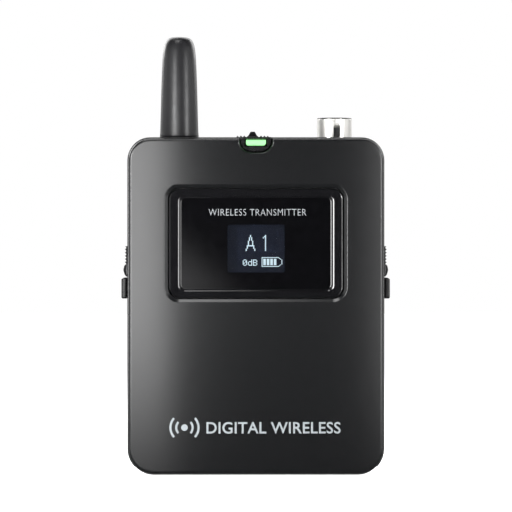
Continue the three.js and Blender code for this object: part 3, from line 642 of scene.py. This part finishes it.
def build_bezel():
    """Glossy frame: a flat land, then a quarter-round fall down to the pane."""
    front, floor = BEZEL_LOW.y, -9.6
    rings = [bezel_ring(0, 0, WINDOW_RADIUS, WINDOW_SEAT)]
    for inset, below in ((0, 0.25), (0.07, 0.08), (0.25, 0)):
        rings.append(bezel_ring(inset, inset, WINDOW_RADIUS - inset, front + below))
    for share, fall in quarter(7):
        rings.append(bezel_ring(1.3 + 1.4 * share, 0.7 + 1.2 * share, 2.2 - 0.9 * share,
                                front + 0.1 + 0.54 * fall))
    rings += [pane_well(0.12, front + 0.66), pane_well(0, front + 0.72), pane_well(0, floor)]
    rings += [pane_well(-0.9, floor), pane_well(-0.9, WINDOW_SEAT)]
    place(stack(rings, closed=True), "bezel_frame", "gloss", "cover", ["window_bezel"],
          24)


def build_gasket():
    """A matt seal behind the bezel, seen when the cover is open."""
    outside = rounded(window_outline(1.2), 8)
    back = WINDOW_SEAT + 0.08
    seal = [ring(outside, "xz", 0, WINDOW_SEAT), ring(outside, "xz", 0, back)]
    seal += [pane_well(-0.7, back), pane_well(-0.7, WINDOW_SEAT)]
    place(stack(seal, closed=True), "bezel_gasket", "foam", "cover")


def build_pane():
    """A pane printed glossy black, with a clear field left open for the display."""
    field = rectangle(-7.3, 7.35, 51.95, 64.25, 0.5)
    mask = prism(around("window_pane", -0.25, 1.2), "xz", round_ends(PANE_LOW.y, -9.72, 0.06, 0))
    combine(mask, [prism(field, "xz", [(0, -11), (0, -9)])])
    place(mask, "pane_print", "mask", "cover", ["window_pane"])
    glass = prism(field, "xz", [(0, PANE_LOW.y + 0.02), (0, -9.96)])
    place(glass, "pane_glass", "glass", "cover", ())
    glass.visible_shadow = False


# -------------------- print and readout


def ink_solid(shapes, front):
    """Flat print: each shape is a list of (x, z) points, laid on a face that looks to -Y."""
    bm = bmesh.new()
    for shape in shapes:
        near = add_ring(bm, [(x, front - INK, z) for x, z in shape])
        far = add_ring(bm, [(x, front, z) for x, z in shape])
        bridge(bm, near, far)
        bm.faces.new(near)
        bm.faces.new(far)
    return mesh_from(bm)


def words(text, height, x, z, front, width=1.0, weight=0.0, spacing=1.0):
    """Lettering in Blender's own font, centred on x and standing on z, as a thin solid."""
    curve = bpy.data.curves.new("words", "FONT")
    curve.body = text
    curve.align_x = "CENTER"
    curve.size = height * MM / CAPITAL_SHARE
    curve.offset = weight * MM
    curve.space_character = spacing
    curve.extrude = INK / 2 * MM
    curve.resolution_u = 4
    thing = link(curve, "words")
    mesh = finished_mesh(thing)
    bpy.data.objects.remove(thing)
    turn = Matrix.Rotation(math.pi / 2, 4, "X")
    spot = Matrix.Translation(Vector((x, front, z)) * MM)
    mesh.transform(spot @ turn @ Matrix.Diagonal((width, 1, 1, 1)))
    return link(mesh, "words")


def arc(cx, cz, radius, start, end, steps):
    """Points on an arc, from one angle to another, in degrees."""
    turns = [math.radians(start + (end - start) * k / steps) for k in range(steps + 1)]
    return [(cx + radius * math.cos(a), cz + radius * math.sin(a)) for a in turns]


def arc_band(cx, cz, radius, thick, start, end):
    """A curved band with square ends."""
    outside = arc(cx, cz, radius + thick / 2, start, end, 14)
    return outside + arc(cx, cz, radius - thick / 2, start, end, 14)[::-1]


def bar(x0, x1, z0, z1):
    return [(x0, z0), (x1, z0), (x1, z1), (x0, z1)]


def build_cover_print():
    """A generic broadcast sign and two generic words, low on the cover."""
    cx, cz = -18.3, 12.3
    shapes = [arc(cx, cz, 0.85, 0, 360, 24)[:-1]]
    for radius in (2.1, 3.6):
        shapes.append(arc_band(cx, cz, radius, 0.55, -42, 42))
        shapes.append(arc_band(cx, cz, radius, 0.55, 138, 222))
    place(ink_solid(shapes, FACE), "cover_sign", "ink", "cover")
    label = words("DIGITAL WIRELESS", 2.95, 4.4, 10.85, FACE - INK / 2, 0.98, 0.06, 1.04)
    place(label, "cover_words", "ink", "cover")


def build_pane_print():
    label = words("WIRELESS TRANSMITTER", 1.8, 0.4, 66.55, PANE_LOW.y - INK / 2, 0.83, -0.02, 1.11)
    place(label, "pane_words", "faint_ink", "cover")


CHANNEL_SIGN = """
....#.............#
....#............##
...#.#..........#.#
...#.#............#
...#.#............#
..#...#...........#
..#...#...........#
..#...#...........#
..#...#...........#
.#######..........#
.#.....#..........#
.#.....#..........#
#.......#.........#
#.......#.........#
"""

GAIN_SIGN = """
.###......#.####.
#...#.....#.#...#
#..##..####.#...#
#.#.#.#...#.####.
##..#.#...#.#...#
#...#.#...#.#...#
.###...####.####.
"""


def dots(sign, x, z, across, up):
    """The lit dots of a sign drawn in rows, joined where they touch along a row."""
    shapes = []
    for i, row in enumerate(reversed(sign.split())):
        z0, z1, run = z + i * up, z + (i + 1) * up, 0
        for k, mark in enumerate(row + "."):
            if mark == "#":
                run += 1
            elif run:
                shapes.append(bar(x + (k - run) * across, x + k * across, z0, z1))
                run = 0
    return shapes


def battery_sign():
    """A battery lying on its side, outlined, with four full bars."""
    x0, x1, z0, z1, line = 1.5, 5.85, 53.42, 55.9, 0.2
    tip, step = x1 + 0.95, 0.62
    shapes = [
        bar(x0, x1, z0, z0 + line), bar(x0, x1, z1 - line, z1),
        bar(x0, x0 + line, z0 + line, z1 - line),
        [(x1, z1 - line), (x1 + 0.5, z1 - step), (x1 + 0.75, z1 - step), (x1, z1)],
        [(x1, z0), (x1 + 0.75, z0 + step), (x1 + 0.5, z0 + step), (x1, z0 + line)],
        bar(tip - line, tip, z0 + step, z1 - step),
    ]
    for k in range(4):
        start = x0 + 0.42 + 0.9 * k
        shapes.append(bar(start, start + 0.66, z0 + 0.42, z1 - 0.42))
    return shapes


def build_readout():
    """The lit display behind the pane: a channel, a gain and a battery sign."""
    low, high = box_of("display_glass")
    front = low.y
    panel = prism(around("display_glass", 0, 0.3), "xz", round_ends(front, high.y, 0.1, 0.05), 3)
    place(panel, "display_panel", "display", "housing", ["display_glass"])
    channel = dots(CHANNEL_SIGN, -2.6, 57.5, 0.275, 0.293)
    place(ink_solid(channel, front), "readout_channel", "readout", "housing")
    gain = dots(GAIN_SIGN, -3.35, 53.72, 0.218, 0.225)
    place(ink_solid(gain, front), "readout_gain", "readout", "housing")
    place(ink_solid(battery_sign(), front), "readout_battery", "readout", "housing")


# -------------------- top: aerial, socket, slider, lamp


def build_aerial():
    """The rubber sleeve: (narrower than its base, below its tip) pairs draw its long taper."""
    foot, tip, base = AERIAL_LOW.z, AERIAL_HIGH.z, AERIAL_HIGH.x - AERIAL_X
    shelf = TOP + 0.25
    profile = [(2.9, foot + 0.2), (3.0, foot), (3.7, foot), (3.7, shelf), (base - 0.1, shelf)]
    taper = [
        (0, TOP - tip + 0.35), (0.03, -25.4), (0.1, -24.4), (0.2, -21), (0.38, -14), (0.55, -9),
        (0.69, -6), (0.8, -4.6), (0.95, -3.3), (1.15, -2.2), (1.45, -1.35), (1.85, -0.75),
        (2.4, -0.35), (3.1, -0.12), (4.1, -0.02),
    ]
    profile += [(base - narrower, tip + below) for narrower, below in taper] + [(0, tip)]
    sleeve = turned([(0, foot + 0.2)] + profile, (AERIAL_X, AXIS_Y))
    place(sleeve, "aerial_cover", "rubber", "housing", ["aerial_sleeve"], 60)


def build_socket():
    """The socket: a barrel with a lock slot in front, a sleeve inside and a seal at its mouth."""
    x, y = SOCKET_X, AXIS_Y
    radius, bore, mouth = SOCKET_HIGH.x - x, 3.65, SOCKET_HIGH.z
    rim, step = mouth - 0.22, bore + 0.08
    barrel = turned([
        (bore, SOCKET_LOW.z), (radius - 0.1, SOCKET_LOW.z), (radius, SOCKET_LOW.z + 0.1),
        (radius, rim - 0.12), (radius - 0.1, rim), (step, rim), (step, rim - 0.3), (bore, rim - 0.4),
    ], (x, y), sides=96, closed=True)
    slot = prism(rectangle(x - 0.3, x + 1.4, 86.9, 90.0, 0.2), "xz", [(0, y - 6), (0, y - 2)])
    dimple = prism(rectangle(x - 0.2, x + 1.3, 89.9, 90.6, 0.15), "xz", [(0, y - 6), (0, y - 4)])
    combine(barrel, [slot, dimple])
    place(barrel, "socket_barrel", "nickel", "housing", ["mic_socket_shell"], 24)
    sleeve = turned([
        (3.4, 87.15), (3.62, 87.15), (3.62, 89.3), (3.55, 89.4), (3.45, 89.4), (3.4, 89.3),
    ], (x, y), sides=64, closed=True)
    place(sleeve, "socket_inner_sleeve", "insulator", "housing", ())
    seal = turned([
        (bore, rim - 0.4), (step, rim - 0.4), (step, rim - 0.02), (radius - 0.06, rim - 0.02),
        (radius - 0.02, mouth - 0.1), (radius - 0.15, mouth), (bore + 0.15, mouth),
        (bore, mouth - 0.15),
    ], (x, y), sides=96, closed=True)
    place(seal, "socket_mouth_seal", "insulator", "housing", ())


def build_slider():
    """Mute slider: a peak in the middle and three teeth on each side."""
    x, half, pitch, foot, crest = SLIDER_X, 4.2, 0.89, TOP + 0.1, TOP + 0.55
    right = [(half, 84.2, 0.1), (half, foot, 0.12)]
    for k in range(3):
        right.append((3.93 - k * pitch, crest, 0.1))
        right.append((3.48 - k * pitch, foot + 0.02, 0.1))
    right += [(1.1, crest, 0.4), (0.55, SLIDER_HIGH.z, 0.16)]
    corners = [(x + u, z, radius) for u, z, radius in right]
    corners += [(x - u, z, radius) for u, z, radius in reversed(right)]
    knob = prism(corners, "xz", round_ends(-4.5, 0.5, 0.1, 0.1, 3), 3)
    flange = prism(rectangle(x - 6.4, x + 6.4, -5.1, 1.1, 0.4), "xy", [(0, 83.7), (0, 84.5)])
    lever = prism(rectangle(x - 0.8, x + 0.8, -1, 0.4, 0.1), "xy", [(0, 81.6), (0, 83.9)])
    combine(knob, [flange, lever], "UNION")
    place(knob, "slider_knob", "trim", "slider", ["mute_slider"])


def build_lamp():
    half, low, high = LAMP_HIGH.x - 0.12, LAMP_LOW.z + 0.1, LAMP_HIGH.z - 0.05
    corners = [(-half, high, 0.12), (-half, low, 0.6), (half, low, 0.6), (half, high, 0.12)]
    lamp = prism(corners, "xz", round_ends(LAMP_LOW.y - 0.25, LAMP_HIGH.y, 0.2, 0), 6)
    place(lamp, "lamp_window", "lamp", "housing", ["light_pipe"])


# -------------------- latches and belt clip


def latch_outline():
    """The latch pad seen from the front: ribs above, a smooth bulge below."""
    face, low, high = 33.35, 50.9, 58.7
    corners = [(31, low, 0.05), (face, low, 0.1), (face + 0.42, low + 0.5, 0.5),
               (LATCH_HIGH.x + 0.03, low + 1.7, 1.2), (face + 0.5, low + 3.0, 0.8)]
    for k in range(6):
        z = low + 3.2 + 0.83 * k
        corners.append((face, z + 0.08, 0.09))
        corners.append((face + 0.37, z + 0.5, 0.09))
    corners += [(face - 0.1, high, 0.08), (31, high, 0.05)]
    return rounded(corners, 5)


def latch_solid():
    """The right latch. Its ribs run round the pad's front end and fade into the case."""
    outline = latch_outline()
    front, back, bend, root = LATCH_LOW.y, -0.6, 0.9, 32.9
    rings = []
    for end, way in ((front, 1), (back, -1)):
        part = []
        for share, fall in quarter(6):
            y = end + way * bend * fall
            part.append([(root + (p.x - root) * share if p.x > root else p.x, y, p.y)
                         for p, _ in outline])
        rings += part if way > 0 else part[::-1]
    pad = stack(rings)
    flange = prism(rectangle(-6.6, 2.6, 49.8, 59.8, 0.6), "yz",
                   round_ends(29.7, 31.2, 0.15, 0.15, 3))
    plate = prism(rectangle(24.2, 30.0, 51.2, 58.4, 0.4), "xz", [(0, -6.6), (0, -5.7)])
    combine(plate, [prism(rectangle(25.7, 29.2, 52.3, 57.3, 0.4), "xz", [(0, -8), (0, -4)])])
    return combine(pad, [flange, plate], "UNION")


def coil(x0, x1, start_radius, end_radius, turns, centre, steps=22):
    """Points of a coil about the X axis, with its first and last turn closed flat."""
    count = int(turns * steps)
    points = []
    for k in range(count + 1):
        share = k / count
        eased = min(1, max(0, (share * turns - 0.6) / (turns - 1.2)))
        radius = start_radius + (end_radius - start_radius) * share
        angle = 2 * math.pi * turns * share
        points.append((x0 + (x1 - x0) * eased, centre[0] + radius * math.cos(angle),
                       centre[1] + radius * math.sin(angle)))
    return points


def build_latches():
    """Both latches, and their springs."""
    pad = latch_solid()
    pads = {"right": pad, "left": mirrored(pad)}
    low, high = box_of("latch_spring_right")
    spring = wire(coil(low.x + 0.25, high.x - 0.25, 1.4, 1.4, 5, (0.9, SPRING_Z)), 0.22, 8)
    springs = {"right": spring, "left": mirrored(spring)}
    for side, name in ((1, "right"), (-1, "left")):
        place(pads[name], f"latch_pad_{name}", "trim", f"latch_{name}_body",
              [f"latch_{name}"])
        place(springs[name], f"latch_coil_{name}", "steel", "housing",
              [f"latch_spring_{name}"], 60)
        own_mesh(springs[name])


def strap_path(steps=10):
    """The clip's strap seen from above, from the left arm's end round the back to the right's."""
    half, back, bend = HALF_WIDTH + GAP, CLIP_HIGH.y - 1.3, 3.9
    front = CLIP_LOW.y
    path = [((-half, front + 0.5 + 2.0 * k), (-1, 0)) for k in range(7)]
    for side in (-1, 1):
        for k in range(steps + 1):
            share = k / steps if side < 0 else 1 - k / steps
            turn = math.pi / 2 * share
            nx, ny = side * math.cos(turn), math.sin(turn)
            path.append(((side * (half - bend) + nx * bend, back - bend + ny * bend), (nx, ny)))
    path += [((half, front + 0.5 + 2.0 * k), (1, 0)) for k in range(6, -1, -1)]
    return path


def strap_solid():
    """A flat strap bent round three sides, its corners eased and its two ends rounded."""
    high, thick = CLIP_HIGH.z, CLIP_HIGH.x - HALF_WIDTH - GAP
    section = rounded([(0, high - 5.4, 0.12), (thick, high - 5.4, 0.38), (thick, high - 0.35, 0.3),
                       (thick - 0.55, high, 0.2), (0, high, 0.12)], 3)
    middle_x, middle_z = thick / 2, high - 2.7
    path = strap_path()
    rings = [[(x + nx * p.x, y + ny * p.x, p.y) for p, _ in section] for (x, y), (nx, ny) in path]

    def end_rings(point, normal):
        made = []
        for share, fall in quarter(5)[:-1]:
            thin, low = 0.25 + 0.75 * share, 0.86 + 0.14 * share
            y = point[1] - 0.5 * (1 - fall)
            made.append([
                (point[0] + normal[0] * (middle_x + (p.x - middle_x) * thin), y,
                 middle_z + (p.y - middle_z) * low)
                for p, _ in section
            ])
        return made

    first, last = path[0], path[-1]
    return stack(end_rings(*first) + rings + end_rings(*last)[::-1])


def tongue_solid():
    """The sprung tongue: down the back, in towards the case, and out again at its tip."""
    top = CLIP_HIGH.z
    inner = [(16.5, top - 0.2), (16.5, 30), (16.35, 26), (15.7, 22), (14.6, 18.2), (13.3, 14.8),
             (12.4, 12.2), (12.1, 10.2), (12.35, 8.2), (13.1, 6.6), (14.2, 5.35)]
    thick, half = 1.3, 12.0
    rings = []
    for i, (y, z) in enumerate(inner):
        ahead, behind = inner[min(i + 1, len(inner) - 1)], inner[max(i - 1, 0)]
        along = Vector((ahead[0] - behind[0], ahead[1] - behind[1])).normalized()
        out = Vector((-along.y, along.x))
        narrow = half - 6 * max(0, (11.5 - z) / 6.2) ** 2.2
        section = rounded(rectangle(-narrow, narrow, 0, thick, 0.35), 4)
        rings.append([(p.x, y + out.x * p.y, z + out.y * p.y) for p, _ in section])
    return stack(rings)


def build_clip():
    """The strap, the tongue and the two pegs it swings on, as one piece of steel."""
    strap = strap_solid()
    tongue = tongue_solid()
    peg = turned([(0, 32.0), (1.35, 32.0), (1.5, 32.15), (1.5, 33.6), (0, 33.6)],
                 (AXIS_Y, PEG_Z), "yz", 32)
    combine(strap, [tongue, mirrored(peg), peg], "UNION")
    place(strap, "clip_strap", "black_steel", "clip", ["belt_clip"], 40)


# -------------------- cells, contacts and keys


def build_cells():
    """Two cells in their bay, head to tail, each with a banded jacket."""
    radius, length = 7.15, 50.5
    profile = [
        (0, 0), (2.5, 0), (2.7, 0.15), (2.72, 1.0), (4.6, 1.1), (4.75, 1.25), (5.0, 1.35), (6.4, 1.0),
        (6.9, 1.05), (radius, 1.4), (radius, 49.2), (6.95, 49.7), (6.6, 49.95), (6.1, 49.8),
        (5.4, 50.0), (5.1, 50.4), (4.9, length), (0, length),
    ]
    for row in ("upper", "lower"):
        node, flip = f"cell_{row}", row == "lower"
        low, high = box_of(node)
        cell = turned(profile, (0, 0), "yz", 64)
        start = high.x if flip else low.x
        middle_y, middle_z = (low.y + high.y) / 2, (low.z + high.z) / 2
        mark = words("AA  1.5 V", 2.6, 30, -1.0, -radius - 0.01, 0.95, 0.03)
        cross = [bar(8.2, 11.0, -0.3, 0.3), bar(9.3, 9.9, 0.3, 1.4), bar(9.3, 9.9, -1.4, -0.3)]
        plus = ink_solid(cross, -radius - 0.01)
        pose = Matrix.Translation(Vector((start, middle_y, middle_z)) * MM)
        for thing in (mark, plus):
            if flip:
                thing.data.transform(Matrix.Rotation(math.pi, 4, "Y"))
            thing.matrix_world = pose
        cell.matrix_world = pose @ Matrix.Rotation(math.pi if flip else 0, 4, "Z")
        place(cell, f"cell_jacket_{row}", "jacket", "housing", [node], 40)
        place(mark, f"{node}_words", "faint_ink", "housing")
        place(plus, f"{node}_plus", "chip", "housing")


def contact_plate(side, z0, z1):
    x0, x1 = (28.6, 29.0) if side > 0 else (-29.0, -28.6)
    return prism(rectangle(-6.5, 5.5, z0, z1, 1.0), "yz", round_ends(x0, x1, 0.1, 0.1, 2), 5)


def cell_spring(side, z):
    points = coil(23.0, 28.4, 2.2, 4.6, 3.5, (-0.75, z))
    return wire([(side * x, y, height) for x, y, height in points], 0.35)


def build_contacts():
    """Three contact plates; a cell's flat end has a coil, its button end has none."""
    for name, side, low, high, coil_z in (
        ("bridge", -1, 10, 36.2, 15.4), ("negative", 1, 25.5, 36.2, 30.8),
        ("positive", 1, 10, 20.8, None),
    ):
        contact = contact_plate(side, low, high)
        if coil_z:
            join(contact, cell_spring(side, coil_z))
        place(contact, f"contact_{name}", "steel", "housing", [f"battery_contact_{name}"],
              40)


def build_keys():
    """Three key caps with rounded edges and printed signs."""
    signs = {
        "up": [[(-1.0, -0.6), (1.0, -0.6), (0, 0.9)]],
        "down": [[(-1.0, 0.6), (0, -0.9), (1.0, 0.6)]],
    }
    for word in ("up", "set", "down"):
        low, high = box_of(f"key_{word}")
        x, z = (low.x + high.x) / 2, (low.z + high.z) / 2
        cap = prism(rectangle(x - 3.2, x + 3.2, z - 2.1, z + 2.1, 1.2), "xz",
                    round_ends(low.y, -6.4, 0.45, 0))
        foot = prism(rectangle(x - 3.8, x + 3.8, z - 2.7, z + 2.7, 0.8), "xz",
                     [(0, -6.7), (0, -6.1)])
        combine(cap, [foot], "UNION")
        place(cap, f"key_cap_{word}", "key", f"key_{word}_body", [f"key_{word}"])
        if word == "set":
            sign = words("SET", 1.35, x, z - 0.65, low.y - 0.01, 0.9, 0.02)
        else:
            sign = ink_solid([[(x + u, z + v) for u, v in shape] for shape in signs[word]], low.y)
        place(sign, f"key_sign_{word}", "ink", f"key_{word}_body")


def build_bay_print():
    """A plus, a minus and the cells' size, printed on the chassis beside the keys."""
    front = -8.2
    shapes = [bar(x - 1, x + 1, 41.0, 41.3) for x in (-22.2, 22.2)]
    shapes += [bar(-22.35, -22.05, z, z + 0.85) for z in (40.15, 41.3)]
    place(ink_solid(shapes, front), "bay_signs", "faint_ink", "housing")
    note = words("AA x 2   1.5 V", 1.7, 0, 40.3, front - INK / 2, 0.95, 0.01)
    place(note, "bay_words", "faint_ink", "housing")


# -------------------- CAD nodes that stay


def dress(names, look, edge=0.0):
    """Keeps CAD nodes and gives them a material, merged flat faces and eased edges."""
    for name in names:
        thing = nodes[name]
        thing.data.materials.clear()
        thing.data.materials.append(LOOK[look])
        flat = thing.modifiers.new("flat", "DECIMATE")
        flat.decimate_type = "DISSOLVE"
        flat.angle_limit = math.radians(0.5)
        if edge:
            soften(thing, edge)
        even_normals(thing)


def dress_kept_nodes():
    dress(["inner_chassis"], "case", 0.12)
    dress(["rating_label"], "plate")
    dress(["aerial_stud", "aerial_coil"], "gold")
    dress([f"mic_contact_{i}" for i in range(1, 5)], "gold")
    dress(["mic_socket_insert", "display_holder"], "insulator", 0.08)
    dress(["mic_socket_nut", "shield_can", "audio_capacitor", "hinge_pin_left", "hinge_pin_right"],
          "steel", 0.1)
    dress([f"board_screw_{i}" for i in range(1, 4)], "steel", 0.06)
    dress([f"case_screw_{i}" for i in range(1, 5)], "black_steel", 0.06)
    dress(["main_board", "mic_socket_board"], "board")
    dress(["switch_body", "processor_chip", "power_inductor", "infrared_receiver"], "chip", 0.08)
    dress([f"key_switch_{i}" for i in range(1, 4)], "chip", 0.08)
    dress(["status_lamp"], "lamp")
    dress(["infrared_lens"], "infrared", 0.15)
    dress(["battery_pad"], "foam", 0.3)


# -------------------- stage, light and camera


def build_stage():
    """A pale floor that runs back without an edge in sight."""
    floor = prism(rectangle(-1500, 1500, -1500, 2500, 100), "xy", [(0, -2), (0, -0.001)])
    recipe = Recipe("floor_pale", (0.9, 0.9, 0.9), 0.9)
    recipe.mottle(0.002, 0.01).shine(0).glow((1, 1, 1), 1.0)
    floor.name = "floor"
    floor.data.materials.append(recipe.material)
    floor.visible_glossy = False


def build_world():
    """White to the camera; as light, dim in front of the object and grey behind it."""
    world = bpy.data.worlds.new("studio")
    bpy.context.scene.world = world
    world.use_nodes = True
    tree = world.node_tree
    way = add_node(tree, "TexCoord").outputs["Generated"]
    split = add_node(tree, "SeparateXYZ", {"Vector": way})
    level = add_node(tree, "MapRange", {
        "Value": split.outputs["Y"], "From Min": 0.2, "From Max": 0.8, "To Min": 0.035, "To Max": 0.6,
    })
    white = (1, 1, 1, 1)
    shade = tree.nodes["Background"]
    feed(shade.inputs["Color"], white)
    feed(shade.inputs["Strength"], level.outputs["Result"])
    backdrop = add_node(tree, "Background", {"Color": white})
    mix = add_node(tree, "MixShader", {
        0: add_node(tree, "LightPath").outputs["Is Camera Ray"],
        1: shade.outputs["Background"],
        2: backdrop.outputs["Background"],
    })
    feed(tree.nodes["World Output"].inputs["Surface"], mix.outputs["Shader"])


def feather(light, side, low):
    """Fades a light towards its lower edge and one of its sides.

    Each share is how much of the light the fade takes; a negative side fades the other one.
    """
    light.use_nodes = True
    tree = light.node_tree
    on_light = add_node(tree, "NewGeometry").outputs["Parametric"]
    split = add_node(tree, "SeparateXYZ", {"Vector": on_light})

    def calculate(operation, first, second):
        return add_node(tree, "Math", {0: first, 1: second}, operation=operation).outputs["Value"]

    def fade(value, end):
        return add_node(tree, "MapRange", {"Value": value, "From Max": end},
                        interpolation_type="SMOOTHSTEP").outputs["Result"]

    up = split.outputs["Y"]
    across = calculate("ADD", split.outputs["X"], up)
    if side < 0:
        across = calculate("SUBTRACT", 1, across)
    strength = calculate("MULTIPLY", fade(up, low), fade(across, abs(side)))
    feed(tree.nodes["Emission"].inputs["Strength"], strength)


def softbox(name, position, target, size, radiance, side=0.05, low=0.05):
    """A rectangular soft light, aimed at a point and not seen by the camera itself."""
    light = bpy.data.lights.new(name, "AREA")
    light.shape = "RECTANGLE"
    light.size, light.size_y = size[0] * MM, size[1] * MM
    light.energy = radiance * math.pi * light.size * light.size_y
    feather(light, side, low)
    lamp = link(light, name)
    lamp.location = Vector(position) * MM
    aim = Vector(target) * MM - lamp.location
    lamp.rotation_euler = aim.to_track_quat("-Z", "Y").to_euler()
    lamp.visible_camera = False
    lamp.visible_transmission = False


def build_lights():
    """Near boxes give the face its soft gradients; strips and walls light the round pieces."""
    softbox("face_left", (-44.5, -74, 38), (-44.5, 0, 38), (42, 116), 7.4, 0.01, 0.6)
    softbox("face_right", (66, -74, 45), (66, 0, 45), (64, 140), 2.4, 0.4, 0.5)
    softbox("pane_sheen", (-14, -800, 62), (-14, 0, 62), (52, 54), 6, -0.8, 0.1)
    softbox("left_strip_high", (-110, -160, 104), (-10, 0, 104), (55, 48), 19)
    softbox("left_strip_low", (-110, -160, 45), (-10, 0, 45), (55, 70), 15)
    softbox("right_strip_high", (150, -150, 104), (20, 0, 104), (45, 48), 17)
    softbox("right_strip_low", (150, -150, 45), (20, 0, 45), (45, 70), 10)
    softbox("left_wall", (-330, -240, 110), (0, 0, 60), (330, 300), 0.9)
    softbox("right_wall", (330, -190, 110), (0, 0, 60), (380, 300), 0.9)
    for name, x in (("left_side", -600), ("right_side", 600)):
        softbox(name, (x, 60, 120), (0, 0, 60), (260, 260), 1.2)
    softbox("top_left", (-65, -115, 330), (-20, 0, 50), (120, 110), 7)
    softbox("top_box", (0, 330, 400), (0, 0, 40), (500, 250), 3)
    softbox("back_left", (-350, 420, 300), (0, 0, 50), (300, 300), 7)
    softbox("back_right", (380, 420, 300), (0, 0, 50), (300, 300), 5)


def build_camera():
    """Almost straight on, a little to the left, from far away, as with a long lens."""
    target = Vector((0, FACE, 56.2))
    distance, frame_width = 900.0, 131.0
    azimuth = math.radians(-0.5)
    data = bpy.data.cameras.new("camera")
    camera = link(data, "camera")
    data.lens = data.sensor_width * distance / frame_width
    camera.location = (target + Vector((math.sin(azimuth), -math.cos(azimuth), 0)) * distance) * MM
    camera.rotation_euler = (math.pi / 2, 0, azimuth)
    data.clip_start, data.clip_end = 0.05, 20
    bpy.context.scene.camera = camera


def build_all():
    for build in (
        build_case, build_cover, build_bezel, build_gasket, build_pane, build_cover_print,
        build_pane_print, build_readout, build_aerial, build_socket, build_slider, build_lamp,
        build_latches, build_clip, build_cells, build_contacts, build_keys, build_bay_print,
        dress_kept_nodes, build_stage, build_world, build_lights, build_camera,
    ):
        build()
    bpy.context.scene.view_settings.view_transform = "Standard"


build_all()
